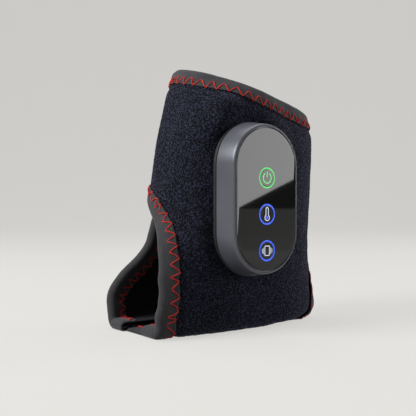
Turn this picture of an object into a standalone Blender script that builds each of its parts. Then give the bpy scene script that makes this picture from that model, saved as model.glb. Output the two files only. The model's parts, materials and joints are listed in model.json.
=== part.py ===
# Heated ankle massager wrap, worn on the left ankle: toes towards -X, controller on the outer side (-Y),
# +Z up. The wrap stands on its sole. The origin is on the sole, on the ankle's axis.
import math

import bmesh
import bpy
import numpy as np
from mathutils import Matrix, Vector
from mathutils.bvhtree import BVHTree
from mathutils.interpolate import poly_3d_calc

MM = 0.001

# Overall sizes of the wrap
WRAP_HEIGHT = 170 * MM
ANKLE_LENGTH = 113 * MM
ANKLE_WIDTH = 74.4 * MM
SECTION_POWER = 2.3
TOP_DROP_SHARE = 0.1794
TOP_DROP = WRAP_HEIGHT * TOP_DROP_SHARE
TOP_TILT_RUN = 95.6 * MM
TOP_TILT_START = 44.6 * MM
TOP_TILT_TURN = math.radians(40)
SOLE_CORNER = 7.5 * MM
HEEL_RISE_START = 24 * MM
HEEL_RISE_RUN = 12 * MM

# Horizontal sections of the wrap from the sole up, as shares: height, reach to the toes, reach to the heel
# and half width. Below the instep the sections run on towards the toes, where the toe opening cuts them.
SECTION_SHARES = (
    (0.0, 0.960, 0.565, 0.462),
    (0.062, 1.000, 0.546, 0.480),
    (0.125, 1.038, 0.524, 0.489),
    (0.188, 0.966, 0.508, 0.495),
    (0.250, 0.832, 0.500, 0.495),
    (0.312, 0.708, 0.498, 0.497),
    (0.356, 0.626, 0.495, 0.497),
    (0.406, 0.558, 0.499, 0.503),
    (0.456, 0.527, 0.502, 0.506),
    (0.531, 0.508, 0.508, 0.507),
    (0.625, 0.484, 0.518, 0.500),
    (0.750, 0.449, 0.540, 0.479),
    (0.875, 0.397, 0.548, 0.457),
    (1.0, 0.316, 0.506, 0.436),
)

# Layers of the wall, from the outside in
SHELL_THICKNESS = 2.4 * MM
FILM_THICKNESS = 0.3 * MM
FILM_GAP = 0.55 * MM
LINING_THICKNESS = 0.6 * MM
SEAT_GAP = 0.3 * MM
CUT_OVERRUN = 6 * MM

# The toe opening and the closing slit, as turns round the section at heights that are shares of the wrap's.
# A turn of 0 or 360 degrees is the front of the shin, 90 is the inner side and 270 the outer side.
OUTER_RIM_SHARES = (
    (0.0, 50.0), (0.069, 51.0), (0.112, 53.5), (0.162, 52.5), (0.219, 46.8), (0.269, 39.5),
    (0.312, 31.0), (0.356, 20.0), (0.406, 4.0), (0.440, -8.0), (0.470, -22.0),
)
INNER_RIM_SHARES = (
    (0.0, 48.0), (0.062, 49.5), (0.125, 52.5), (0.188, 55.0), (0.250, 58.0), (0.300, 58.5),
    (0.350, 54.5), (0.394, 51.0), (0.440, 52.0), (0.500, 57.0), (0.560, 60.0), (1.0, 61.0),
)

# The closing flap
FLAP_ROOT_TURN = math.radians(36)
FLAP_ROOT_LOW_SHARE = 0.492
FLAP_HINGE_GAP = 0.25 * MM
FLAP_HINGE_RISE = 1.3 * MM
FLAP_END_TURN = math.radians(118)
FLAP_LIFT_TURN = math.radians(21)
FLAP_LIFT = 2.6 * MM
FLAP_CORNER = 15 * MM
FLAP_LOW_RISE = 9 * MM
FLAP_END_DROP = 6 * MM

# Hook tabs under the flap
HOOK_THICKNESS = 1.7 * MM
HOOK_TURNS = (math.radians(74), math.radians(104))
HOOK_ROW_SHARES = (0.19, 0.35)
HOOK_HALF_SHARE = 0.055

# Edge binding
BINDING_LEG = 9.0 * MM
BINDING_THICKNESS = 0.6 * MM
BINDING_OUTER_GAP = 0.5 * MM
BINDING_INNER_GAP = 0.65 * MM
HEEL_BINDING_EASE = 0.9 * MM
HEEL_FLOOR_CLEARANCE = 0.1 * MM
STRAIGHT_LEG_STEPS = 2
TOE_LEG_STEPS = 3
HEEL_LEG_STEPS = 4
BINDING_NOSE_GAP = 0.6 * MM
BINDING_NOSE = 2.2 * MM
BINDING_END_TURN = math.radians(2.2)
BINDING_ROW_SHARE = 0.02
OUTER_BINDING_TOP_SHARE = 0.482

# Stretch gusset along the middle of the sole
GUSSET_WIDTH = 19 * MM
GUSSET_THICKNESS = 2.2 * MM
GUSSET_CLEARANCE = 0.3 * MM

# Heel opening: an oval pierced at 45 degrees through the heel's lower corner
HEEL_OPENING_WIDTH = 36 * MM
HEEL_OPENING_HEIGHT = 48 * MM
HEEL_OPENING_ALONG = 60 * MM
HEEL_OPENING_TILT = math.radians(45)

# Controller case, a slightly tapered pill
CASE_HEIGHT_SHARE = 0.55
CASE_HEIGHT = WRAP_HEIGHT * CASE_HEIGHT_SHARE
CASE_WIDTH = 54.2 * MM
CASE_DEPTH = 17.0 * MM
CASE_TAPER = 2.0 * MM
CASE_FRONT_CHAMFER = 1.2 * MM
CASE_WALL = 2.0 * MM
CASE_FRONT_WALL = 1.5 * MM
CASE_X = -17.0 * MM
CASE_RISE_SHARE = 0.48
CASE_Z = WRAP_HEIGHT * CASE_RISE_SHARE
PAD_WIDTH = 42 * MM
PAD_END_MARGIN = 9.25 * MM
PAD_HEIGHT = CASE_HEIGHT + 2 * PAD_END_MARGIN
PAD_FALLOFF = 22 * MM
BACK_SHELL_THICKNESS = 2.2 * MM
BACK_SHELL_PROUD = 0.2 * MM

# Face panel, keys and their lit rings
PANEL_END_MARGIN = 4.45 * MM
PANEL_SIDE_MARGIN = 4.0 * MM
PANEL_HEIGHT = CASE_HEIGHT - 2 * PANEL_END_MARGIN
PANEL_WIDTH = CASE_WIDTH - 2 * PANEL_SIDE_MARGIN
PANEL_THICKNESS = 1.2 * MM
PANEL_CLEARANCE = 0.2 * MM
KEY_PITCH_SHARE = 0.231
POWER_KEY_SHARE = 0.1348
KEY_PITCH = CASE_HEIGHT * KEY_PITCH_SHARE
POWER_KEY_RISE = CASE_HEIGHT * POWER_KEY_SHARE
RING_OUTER = 12.5 * MM
RING_STROKE = 0.85 * MM
KEY_CLEARANCE = 0.15 * MM
KEY_STEM_WIDTH = 4.0 * MM
KEY_TRAVEL = 0.3 * MM
SWITCH_GAP = 0.35 * MM

# Board and what it carries
BOARD_END_MARGIN = 4.75 * MM
BOARD_HEIGHT = CASE_HEIGHT - 2 * BOARD_END_MARGIN
BOARD_WIDTH = 36.4 * MM
BOARD_THICKNESS = 1.2 * MM
BOARD_DEPTH = 5.8 * MM
SWITCH_WIDTH = 5.2 * MM
SWITCH_THICKNESS = 1.6 * MM
LAMP_WIDTH = 2.0 * MM
LAMP_HEIGHT = 1.2 * MM
LAMP_THICKNESS = 0.7 * MM
CHIP_WIDTH = 7.0 * MM
CHIP_THICKNESS = 0.9 * MM
SOLDER_GAP = 0.1 * MM

BATTERY_WIDTH = 32 * MM
BATTERY_HEIGHT_SHARE = 0.56
BATTERY_HEIGHT = BOARD_HEIGHT * BATTERY_HEIGHT_SHARE
BATTERY_THICKNESS = 5.6 * MM
BATTERY_RISE_SHARE = 0.113
BATTERY_RISE = BOARD_HEIGHT * BATTERY_RISE_SHARE
BATTERY_ROUND = 2.2 * MM

MOTOR_RADIUS = 3.4 * MM
MOTOR_LENGTH = 15 * MM
MOTOR_DROP_SHARE = 0.31
MOTOR_DROP = BOARD_HEIGHT * MOTOR_DROP_SHARE
MOTOR_SHAFT_RADIUS = 0.6 * MM
MOTOR_SHAFT_LENGTH = 6.5 * MM
MOTOR_BORE_CLEARANCE = 0.15 * MM
WEIGHT_RADIUS = 2.9 * MM
WEIGHT_LENGTH = 4.5 * MM
CRADLE_WALL = 1.2 * MM
CRADLE_LENGTH = 9 * MM
CRADLE_HEIGHT = 5 * MM

SOCKET_WIDTH = 8.9 * MM
SOCKET_THICKNESS = 3.2 * MM
SOCKET_LENGTH = 7.4 * MM
SOCKET_WALL = 0.4 * MM
SOCKET_BOTTOM_SHARE = 0.972

# Fasteners
SCREW_RADIUS = 1.0 * MM
SCREW_HEAD_RADIUS = 1.9 * MM
SCREW_HEAD_THICKNESS = 1.1 * MM
SCREW_CLEARANCE = 0.2 * MM
SCREW_FLOOR = 0.3 * MM
BOSS_RADIUS = 2.2 * MM
CASE_SCREW_X = 20.8 * MM
CASE_SCREW_Z = 17 * MM
CASE_SCREW_LENGTH = 7.0 * MM
CLAMP_BOSS_HEIGHT = 3.2 * MM

# Clamp plate on the inside of the lining
CLAMP_END_MARGIN = 4.75 * MM
CLAMP_PLATE_HEIGHT = CASE_HEIGHT - 2 * CLAMP_END_MARGIN
CLAMP_SCREW_INSET = 5 * MM
CLAMP_SCREW_Z = CLAMP_PLATE_HEIGHT / 2 - CLAMP_SCREW_INSET
CLAMP_PLATE_WIDTH = 22 * MM
CLAMP_PLATE_THICKNESS = 1.8 * MM

# Heating films between shell and lining
FILM_LOW_SHARE = 0.35
FILM_HIGH_SHARE = 0.68
OUTER_FILM_TURNS = (math.radians(232), math.radians(296))
INNER_FILM_TURNS = (math.radians(76), math.radians(132))
LINK_LOW_SHARE = 0.60
LINK_HIGH_SHARE = 0.66
LINK_GAP_TURN = math.radians(0.6)
SENSOR_LOW_SHARE = 0.50
SENSOR_HIGH_SHARE = 0.54
SENSOR_TURNS = (math.radians(224), math.radians(230))
LEAD_WIDTH = 8 * MM
LEAD_THICKNESS = 1.0 * MM
LEAD_DROP = 18 * MM
LEAD_CLEARANCE = 0.4 * MM

# Grid counts
HIGH_ROWS = 6
LOW_ROWS = 10
ROW_CROWDING = 1.6
CORNER_ROWS = 3
SOLE_ROWS = 2
WRAP_COLUMNS = 36
FLAP_COLUMNS = 14
FLAP_ROWS = 13
CIRCLE_STEPS = 28

# Colours as red, green, blue, with roughness and metallic
FINISHES = {
    "fleece": ((0.018, 0.019, 0.028), 0.95, 0.0),
    "binding": ((0.035, 0.035, 0.038), 0.8, 0.0),
    "elastic": ((0.03, 0.03, 0.034), 0.8, 0.0),
    "lining": ((0.012, 0.012, 0.014), 0.95, 0.0),
    "hook": ((0.02, 0.02, 0.022), 0.6, 0.0),
    "film": ((0.05, 0.03, 0.02), 0.5, 0.0),
    "case_paint": ((0.115, 0.12, 0.145), 0.38, 0.35),
    "case_black": ((0.02, 0.02, 0.022), 0.5, 0.0),
    "panel": ((0.009, 0.009, 0.010), 0.06, 0.0),
    "ring_green": ((0.12, 0.8, 0.25), 0.4, 0.0),
    "ring_blue": ((0.05, 0.18, 0.9), 0.4, 0.0),
    "board": ((0.02, 0.12, 0.05), 0.5, 0.0),
    "battery": ((0.55, 0.56, 0.58), 0.4, 0.6),
    "steel": ((0.6, 0.6, 0.62), 0.3, 1.0),
    "component": ((0.03, 0.03, 0.03), 0.5, 0.0),
    "lamp": ((0.8, 0.8, 0.7), 0.4, 0.0),
}


def material(finish):
    found = bpy.data.materials.get(finish)
    if found:
        return found
    colour, roughness, metallic = FINISHES[finish]
    made = bpy.data.materials.new(finish)
    made.use_nodes = True
    shader = made.node_tree.nodes["Principled BSDF"]
    shader.inputs["Base Color"].default_value = (*colour, 1)
    shader.inputs["Roughness"].default_value = roughness
    shader.inputs["Metallic"].default_value = metallic
    return made


def add_object(name, mesh, finish=None):
    made = bpy.data.objects.new(name, mesh)
    bpy.context.scene.collection.objects.link(made)
    if finish:
        mesh.materials.append(material(finish))
        mesh.shade_smooth()
        mesh.set_sharp_from_angle(angle=math.radians(35))
    else:
        made.hide_render = True
        made.display_type = "WIRE"
    return made


def cut(target, cutter, operation="DIFFERENCE"):
    modifier = target.modifiers.new(f"{operation.lower()}_{cutter.name}", "BOOLEAN")
    modifier.operation = operation
    modifier.object = cutter


def smooth_step(value):
    value = min(1.0, max(0.0, value))
    return value * value * (3 - 2 * value)


def curve_through(points, at):
    """A smooth curve through rows of (key, value, ...), read at one key."""
    keys = [row[0] for row in points]
    at = min(keys[-1], max(keys[0], at))
    last = len(keys) - 2
    index = min(last, max(0, int(np.searchsorted(keys, at, side="right")) - 1))
    rows = np.array([row[1:] for row in points], float)

    def slope(k):
        low, high = max(0, k - 1), min(len(keys) - 1, k + 1)
        return (rows[high] - rows[low]) / (keys[high] - keys[low])

    span = keys[index + 1] - keys[index]
    t = (at - keys[index]) / span
    t2, t3 = t * t, t * t * t
    return (
        (2 * t3 - 3 * t2 + 1) * rows[index]
        + (t3 - 2 * t2 + t) * span * slope(index)
        + (3 * t2 - 2 * t3) * rows[index + 1]
        + (t3 - t2) * span * slope(index + 1)
    )


# The wrap's outer surface

PAD_REACH = ANKLE_WIDTH * 0.5
CASE_BASE_Y = -(PAD_REACH + SEAT_GAP)
CASE_FACE_Y = CASE_BASE_Y - CASE_DEPTH
HEEL_RIM_X = HEEL_OPENING_ALONG - HEEL_OPENING_HEIGHT * 0.5 / math.sin(HEEL_OPENING_TILT)


def pad_share(x, z):
    """1 where the controller sits, falling to 0 around it: there the wall is flat."""
    half_run = (PAD_HEIGHT - PAD_WIDTH) / 2
    nearest_z = min(CASE_Z + half_run, max(CASE_Z - half_run, z))
    outside = math.hypot(x - CASE_X, z - nearest_z) - PAD_WIDTH / 2
    return 1 - smooth_step(outside / PAD_FALLOFF)


def section_point(turn, reach_toe, reach_heel, half_width):
    c, s = math.cos(turn), math.sin(turn)
    reach = -reach_toe if c > 0 else reach_heel
    x = reach * abs(c) ** (2 / SECTION_POWER)
    y = math.copysign(half_width * abs(s) ** (2 / SECTION_POWER), s)
    return x, y


def toe_edge_x():
    """Where the toe opening's outer rim stands over the sole."""
    share = curve_through(SECTION_SHARES, SOLE_CORNER / WRAP_HEIGHT)
    turn = math.radians(float(curve_through(OUTER_RIM_SHARES, 0.0)[0]))
    return section_point(turn, share[0] * ANKLE_LENGTH, 0, 0)[0]


TOE_EDGE_X = toe_edge_x()


def heel_rise_share(x):
    """0 on the flat of the sole, 1 at the heel opening, whose binding needs more room over the floor."""
    return smooth_step((x - HEEL_RIM_X + HEEL_RISE_START) / HEEL_RISE_RUN)


def sole_lift(x):
    """The sole's height over the floor: its bindings and its gusset stand on the floor."""
    heel_rise = HEEL_BINDING_EASE + HEEL_FLOOR_CLEARANCE
    return BINDING_OUTER_GAP + BINDING_THICKNESS + heel_rise * heel_rise_share(x)


def outer_point(turn, descent):
    """A point of the outer surface. descent runs 0 to 1 down the wall, to 2 round the sole's corner,
    to 3 across the sole to the gusset's edge and to 4 at the gusset's middle."""
    height = WRAP_HEIGHT + (SOLE_CORNER - WRAP_HEIGHT) * min(descent, 1.0)
    toe, heel, width = curve_through(SECTION_SHARES, height / WRAP_HEIGHT)
    toe, heel, width = toe * ANKLE_LENGTH, heel * ANKLE_LENGTH, width * ANKLE_WIDTH
    bend = math.radians(90) * min(1.0, max(0.0, descent - 1))
    inset = SOLE_CORNER * (1 - math.cos(bend))
    height -= SOLE_CORNER * math.sin(bend)
    x, y = section_point(turn, toe, heel - inset, width - inset)
    across = min(1.0, max(0.0, descent - 2))
    y += (math.copysign(min(abs(y), GUSSET_WIDTH / 2), y) - y) * across
    y *= 1 - max(0.0, descent - 3)
    x -= max(0.0, x - HEEL_RIM_X) / 2 * across
    tilt = x * math.cos(TOP_TILT_TURN) - y * math.sin(TOP_TILT_TURN) + TOP_TILT_START
    share = height / WRAP_HEIGHT
    z = height - TOP_DROP * tilt / TOP_TILT_RUN * share**2 + sole_lift(x) * (1 - share)
    if y < 0 and descent < 2:
        y += (-PAD_REACH - y) * pad_share(x, z) * min(1.0, 2 - descent)
    return Vector((x, y, z))


def outer_normal(turn, descent):
    small_turn, small_descent = math.radians(0.6), 0.012
    across = outer_point(turn + small_turn, descent) - outer_point(turn - small_turn, descent)
    low, high = max(0.0, descent - small_descent), min(3.0, descent + small_descent)
    down = outer_point(turn, high) - outer_point(turn, low)
    return across.cross(down).normalized()


def wall_point(turn, descent, depth):
    """A point at a depth below the outer surface, or above it where depth is negative."""
    return outer_point(turn, descent) - outer_normal(turn, descent) * depth


def descent_at(height_share):
    """The descent of a height, given as a share of the wrap's height."""
    return (1 - height_share) * WRAP_HEIGHT / (WRAP_HEIGHT - SOLE_CORNER)


def height_share_at(descent):
    return 1 - min(descent, 1.0) * (WRAP_HEIGHT - SOLE_CORNER) / WRAP_HEIGHT


def inner_rim_turn(descent):
    """Turn of the toe opening's inner rim and, above it, of the slit's edge under the flap."""
    return math.radians(float(curve_through(INNER_RIM_SHARES, height_share_at(descent))[0]))


FULL_TURN = 2 * math.pi
TOP_EDGE = BINDING_NOSE / (WRAP_HEIGHT - SOLE_CORNER)
ROOT_TURN = FULL_TURN + FLAP_ROOT_TURN


def outer_rim_turn(descent):
    """Turn of the toe opening's outer rim and, above the instep, of the flap's root."""
    share = height_share_at(descent)
    if share >= FLAP_ROOT_LOW_SHARE:
        return root_turn(descent, -1)
    top_share, top_turn = OUTER_RIM_SHARES[-1]
    if share > top_share:
        run = (share - top_share) / (FLAP_ROOT_LOW_SHARE - top_share)
        turn = math.radians(top_turn) * (1 - run) - FLAP_ROOT_TURN * run
    else:
        turn = math.radians(float(curve_through(OUTER_RIM_SHARES, share)[0]))
    return FULL_TURN - turn


def even_turns(start, end, descent, count):
    """Turns from start to end that lie evenly along the surface."""
    dense = np.linspace(start, end, 4 * count)
    points = [outer_point(turn, descent) for turn in dense]
    steps = [0.0] + [(b - a).length for a, b in zip(points, points[1:])]
    run = np.cumsum(steps)
    return np.interp(np.linspace(0, run[-1], count), run, dense)


def wall_descents():
    """Rows of the wrap's grid, closer together where the rim crosses the instep."""
    steps = np.linspace(0, 1, HIGH_ROWS) ** ROW_CROWDING
    high = list(TOP_EDGE + (descent_at(FLAP_ROOT_LOW_SHARE) - TOP_EDGE) * steps)
    low_start = descent_at(OUTER_RIM_SHARES[-1][0])
    steps = np.linspace(0, 1, LOW_ROWS) ** ROW_CROWDING
    low = list(low_start + (1 - low_start) * steps)
    corner = list(np.linspace(1, 2, CORNER_ROWS + 1))[1:]
    sole = list(np.linspace(2, 3, SOLE_ROWS + 1))[1:]
    return high + low + corner + sole


def sheet_solid(name, outer, inner, finish):
    """A closed solid between two grids of points, outer and inner."""
    rows, columns = len(outer), len(outer[0])
    mesh = bmesh.new()
    front = [[mesh.verts.new(p) for p in row] for row in outer]
    back = [[mesh.verts.new(p) for p in row] for row in inner]
    for i in range(rows - 1):
        for j in range(columns - 1):
            for grid in (front, back):
                mesh.faces.new((grid[i][j], grid[i + 1][j], grid[i + 1][j + 1]))
                mesh.faces.new((grid[i][j], grid[i + 1][j + 1], grid[i][j + 1]))
    around = [(0, j) for j in range(columns)] + [(i, columns - 1) for i in range(1, rows)]
    around += [(rows - 1, j) for j in range(columns - 2, -1, -1)] + [(i, 0) for i in range(rows - 2, 0, -1)]
    for (i, j), (k, m) in zip(around, around[1:] + around[:1]):
        mesh.faces.new((front[i][j], front[k][m], back[k][m], back[i][j]))
    bmesh.ops.recalc_face_normals(mesh, faces=mesh.faces)
    data = bpy.data.meshes.new(name)
    mesh.to_mesh(data)
    mesh.free()
    return add_object(name, data, finish)


def patch(name, turns, shares, depth, thickness, columns, rows, finish):
    """A thin sheet that follows the wall at a depth, over a range of turns and of height shares."""
    descents = np.linspace(descent_at(shares[1]), descent_at(shares[0]), rows)
    grids = []
    for level in (depth, depth + thickness):
        grid = [
            [wall_point(turn, d, level) for turn in even_turns(*turns, d, columns)] for d in descents
        ]
        grids.append(grid)
    return sheet_solid(name, *grids, finish)


def swept_solid(name, stations, profile, finish, closed=False):
    """A closed profile swept along stations. Each station gives the place of a profile point."""
    mesh = bmesh.new()
    rings = [[mesh.verts.new(station(*point)) for point in profile] for station in stations]
    pairs = list(zip(rings, rings[1:])) + ([(rings[-1], rings[0])] if closed else [])
    for first, second in pairs:
        for k in range(len(profile)):
            m = (k + 1) % len(profile)
            mesh.faces.new((first[k], first[m], second[m], second[k]))
    if not closed:
        mesh.faces.new(rings[0])
        mesh.faces.new(list(reversed(rings[-1])))
    bmesh.ops.recalc_face_normals(mesh, faces=mesh.faces)
    bmesh.ops.triangulate(mesh, faces=mesh.faces)
    data = bpy.data.meshes.new(name)
    mesh.to_mesh(data)
    mesh.free()
    return add_object(name, data, finish)


def binding_profile(thickness, leg_steps=STRAIGHT_LEG_STEPS, ease=0.0):
    """The tape's U, folded round an edge of this thickness. A point is a distance in from the edge
    and a height over the outer face, and is negative beyond the edge and below the face. ease is
    extra room for an edge that turns sharply."""
    top, bottom = BINDING_OUTER_GAP + ease, -thickness - BINDING_INNER_GAP - ease
    middle, shoulder = (top + bottom) / 2, (top - bottom) / 4
    legs = [BINDING_LEG * k / leg_steps for k in range(leg_steps + 1)]
    inside = [(leg, top) for leg in reversed(legs)]
    nose_gap, nose = BINDING_NOSE_GAP + ease, BINDING_NOSE + ease
    inside += [(-nose_gap, middle + shoulder), (-nose_gap, middle - shoulder)]
    inside += [(leg, bottom) for leg in legs]
    top, bottom = top + BINDING_THICKNESS, bottom - BINDING_THICKNESS
    outside = [(leg, bottom) for leg in reversed(legs)]
    outside += [(-nose, middle - shoulder), (-nose, middle + shoulder)]
    outside += [(leg, top) for leg in legs]
    return inside + outside


def edge_station(surface, path, k, inside):
    """The place of a profile point at one corner of a path of (turn, descent) along an edge of a
    surface. inside is a (turn, descent) that lies within the surface, away from the edge."""
    turn, descent = path[k]
    here = surface(turn, descent, 0.0)
    before, after = path[max(k - 1, 0)], path[min(k + 1, len(path) - 1)]
    tangent = surface(*after, 0.0) - surface(*before, 0.0)
    small_turn, small_descent = math.radians(0.5), 0.01
    by_turn = (surface(turn + small_turn, descent, 0.0) - here) / small_turn
    by_descent = (surface(turn, descent + small_descent, 0.0) - here) / small_descent
    normal = by_turn.cross(by_descent).normalized()
    inward = normal.cross(tangent).normalized()
    target = surface(*inside, 0.0) - here
    if inward.dot(target) < 0:
        inward = -inward
    steps, *_ = np.linalg.lstsq(np.array([by_turn, by_descent]).T, np.array(inward), rcond=None)

    def place(distance, height):
        if distance <= 0:
            return here + inward * distance + normal * height
        return surface(turn + steps[0] * distance, descent + steps[1] * distance, -height)

    return place


FILM_DEPTH = SHELL_THICKNESS + FILM_GAP
LINING_DEPTH = FILM_DEPTH + FILM_THICKNESS + FILM_GAP
WALL_DEPTH = LINING_DEPTH + LINING_THICKNESS


# Flap hinge: a straight line on the outer surface at the flap's root

HINGE_LOW = outer_point(ROOT_TURN, descent_at(FLAP_ROOT_LOW_SHARE))
HINGE_HIGH = outer_point(ROOT_TURN, TOP_EDGE)


def hinge_axis():
    """A point on the flap's hinge and its direction: the line over the root's outermost bulge."""
    direction = (HINGE_HIGH - HINGE_LOW).normalized()
    outward = outer_normal(ROOT_TURN, descent_at((1 + FLAP_ROOT_LOW_SHARE) / 2))
    outward = (outward - outward.dot(direction) * direction).normalized()
    descents = np.linspace(0, descent_at(FLAP_ROOT_LOW_SHARE), 9)
    bulge = max((outer_point(ROOT_TURN, d) - HINGE_LOW).dot(outward) for d in descents)
    return HINGE_LOW + outward * (bulge + FLAP_HINGE_RISE), direction, outward


HINGE_POINT, HINGE_DIRECTION, HINGE_OUTWARD = hinge_axis()
HINGE_ACROSS = HINGE_DIRECTION.cross(HINGE_OUTWARD).normalized()


def root_turn(descent, side):
    """The turn where the wall meets the plane through the hinge, less the hinge gap. side is 1 for the
    flap and -1 for the body."""
    turns = np.linspace(ROOT_TURN - math.radians(14), ROOT_TURN + math.radians(14), 29)
    forward = outer_point(turns[-1], descent) - outer_point(turns[0], descent)
    across = HINGE_ACROSS * math.copysign(1, HINGE_ACROSS.dot(forward))
    offsets = [(outer_point(t, descent) - HINGE_POINT).dot(across) for t in turns]
    return float(np.interp(side * FLAP_HINGE_GAP, offsets, turns))


# The wrap's fabric pieces


def edge_turns(descent):
    return even_turns(inner_rim_turn(descent), outer_rim_turn(descent), descent, WRAP_COLUMNS)


def wrap_grid(depth):
    return [[wall_point(turn, d, depth) for turn in edge_turns(d)] for d in wall_descents()]


def heel_axes():
    """The heel opening's middle, its direction out of the wrap, and its upward direction across that."""
    outward = Vector((math.cos(HEEL_OPENING_TILT), 0, -math.sin(HEEL_OPENING_TILT)))
    upward = Vector((math.sin(HEEL_OPENING_TILT), 0, math.cos(HEEL_OPENING_TILT)))
    return Vector((HEEL_OPENING_ALONG, 0, 0)), outward, upward


def heel_oval(angle):
    """A point of the heel opening's oval and the direction out of the oval there."""
    middle, _, upward = heel_axes()
    half_width, half_height = HEEL_OPENING_WIDTH / 2, HEEL_OPENING_HEIGHT / 2
    c, s = math.cos(angle), math.sin(angle)
    away = Vector((0, c / half_width, 0)) + upward * (s / half_height)
    return middle + Vector((0, c * half_width, 0)) + upward * s * half_height, away.normalized()


def heel_angles():
    return [k * FULL_TURN / CIRCLE_STEPS for k in range(CIRCLE_STEPS)]


def make_heel_cutter():
    reach = HEEL_OPENING_HEIGHT / 2 / math.tan(HEEL_OPENING_TILT) + 2 * WALL_DEPTH + CUT_OVERRUN
    _, outward, _ = heel_axes()
    ring = [heel_oval(angle)[0] for angle in heel_angles()]
    rings = [[p + outward * along for p in ring] for along in (-reach, reach)]
    return loft("heel_opening_cutter", rings)


def loft(name, rings, finish=None):
    """A closed solid through rings of as many points each, with flat ends."""
    mesh = bmesh.new()
    rows = [[mesh.verts.new(p) for p in ring] for ring in rings]
    for first, second in zip(rows, rows[1:]):
        for k in range(len(first)):
            m = (k + 1) % len(first)
            mesh.faces.new((first[k], first[m], second[m], second[k]))
    mesh.faces.new(rows[0])
    mesh.faces.new(list(reversed(rows[-1])))
    bmesh.ops.recalc_face_normals(mesh, faces=mesh.faces)
    data = bpy.data.meshes.new(name)
    mesh.to_mesh(data)
    mesh.free()
    return add_object(name, data, finish)


def make_wrap_body(heel_cutter):
    body = sheet_solid("wrap_body", wrap_grid(0.0), wrap_grid(SHELL_THICKNESS), "fleece")
    cut(body, heel_cutter)
    return body


def make_lining(heel_cutter):
    lining = sheet_solid("inner_lining", wrap_grid(LINING_DEPTH), wrap_grid(WALL_DEPTH), "lining")
    cut(lining, heel_cutter)
    return lining


def make_films():
    shares = (FILM_LOW_SHARE, FILM_HIGH_SHARE)
    patch("outer_heating_film", OUTER_FILM_TURNS, shares, FILM_DEPTH, FILM_THICKNESS, 10, 6, "film")
    patch("inner_heating_film", INNER_FILM_TURNS, shares, FILM_DEPTH, FILM_THICKNESS, 10, 6, "film")
    link_turns = (INNER_FILM_TURNS[1] + LINK_GAP_TURN, OUTER_FILM_TURNS[0] - LINK_GAP_TURN)
    link_shares = (LINK_LOW_SHARE, LINK_HIGH_SHARE)
    patch("film_link_strip", link_turns, link_shares, FILM_DEPTH, FILM_THICKNESS, 14, 3, "film")
    sensor_shares = (SENSOR_LOW_SHARE, SENSOR_HIGH_SHARE)
    patch("temperature_sensor", SENSOR_TURNS, sensor_shares, FILM_DEPTH, FILM_THICKNESS, 3, 3, "component")


def make_gusset(heel_cutter):
    """The ribbed elastic strip along the middle of the sole."""
    half = GUSSET_WIDTH / 2 - GUSSET_CLEARANCE
    rise_start = HEEL_RIM_X - HEEL_RISE_START
    ends = [TOE_EDGE_X, *np.linspace(rise_start, rise_start + HEEL_RISE_RUN, 6), HEEL_OPENING_ALONG]
    outer = [[Vector((x, y, sole_lift(x) * heel_rise_share(x))) for y in (-half, half)] for x in ends]
    inner = [[p + Vector((0, 0, GUSSET_THICKNESS)) for p in row] for row in outer]
    gusset = sheet_solid("sole_gusset", outer, inner, "elastic")
    cut(gusset, heel_cutter)


def make_top_binding():
    path = [(turn, TOP_EDGE) for turn in edge_turns(TOP_EDGE)]
    path[-1] = (path[-1][0] - BINDING_END_TURN, TOP_EDGE)
    stations = [edge_station(wall_point, path, k, (turn, 0.1)) for k, (turn, _) in enumerate(path)]
    swept_solid("top_binding", stations, binding_profile(WALL_DEPTH), "binding")


def binding_descents(highest):
    """The rows of the wrap's grid that a toe binding runs along, from the one at the top down."""
    return [highest] + [d for d in wall_descents() if d > highest + BINDING_ROW_SHARE]


def make_toe_bindings():
    profile = binding_profile(WALL_DEPTH, TOE_LEG_STEPS)
    low_start = descent_at(OUTER_BINDING_TOP_SHARE)
    path = [(outer_rim_turn(d), d) for d in binding_descents(low_start)]
    inside = [(turn - math.radians(12), d) for turn, d in path]
    stations = [edge_station(wall_point, path, k, inside[k]) for k in range(len(path))]
    swept_solid("outer_toe_binding", stations, profile, "binding")
    top = TOP_EDGE + (BINDING_LEG + BINDING_NOSE) / WRAP_HEIGHT
    path = [(inner_rim_turn(d), d) for d in binding_descents(top)]
    inside = [(turn + math.radians(12), d) for turn, d in path]
    stations = [edge_station(wall_point, path, k, inside[k]) for k in range(len(path))]
    swept_solid("inner_toe_binding", stations, profile, "binding")


def heel_surface():
    """A tree of the wrap's outer facets, the gusset's among them, with a smooth normal at each corner."""
    descents = wall_descents() + [3.5, 4.0]
    points, normals, faces = [], [], []
    for d in descents:
        for turn in edge_turns(min(d, 3.0)):
            points.append(outer_point(turn, d))
            normals.append(outer_normal(turn, d) if d < 3 else Vector((0, 0, -1)))
    for row in range(len(descents) - 1):
        for j in range(WRAP_COLUMNS - 1):
            a = row * WRAP_COLUMNS + j
            b = a + WRAP_COLUMNS
            faces += [(a, b, b + 1), (a, b + 1, a + 1)]
    return BVHTree.FromPolygons(points, faces), points, normals, faces


def make_heel_binding():
    tree, points, normals, faces = heel_surface()
    _, outward, _ = heel_axes()

    def hit(place):
        found, _, index, _ = tree.ray_cast(place + outward * HEEL_OPENING_ALONG, -outward)
        corners = [points[k] for k in faces[index]]
        weights = poly_3d_calc(corners, found)
        normal = sum((normals[k] * w for k, w in zip(faces[index], weights)), Vector())
        return found, normal.normalized()

    def station(angle):
        place, away = heel_oval(angle)
        here, normal = hit(place)
        beyond, _ = hit(place + away * BINDING_THICKNESS)
        slope = (beyond - here).length / BINDING_THICKNESS
        inward = (beyond - here).normalized()

        def at(distance, height):
            if distance <= 0:
                return here + inward * distance + normal * height
            found, tilt = hit(place + away * (distance / slope))
            return found + tilt * height

        return at

    stations = [station(angle) for angle in heel_angles()]
    profile = binding_profile(WALL_DEPTH, HEEL_LEG_STEPS, HEEL_BINDING_EASE)
    swept_solid("heel_binding", stations, profile, "binding", closed=True)


# The closing flap


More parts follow.
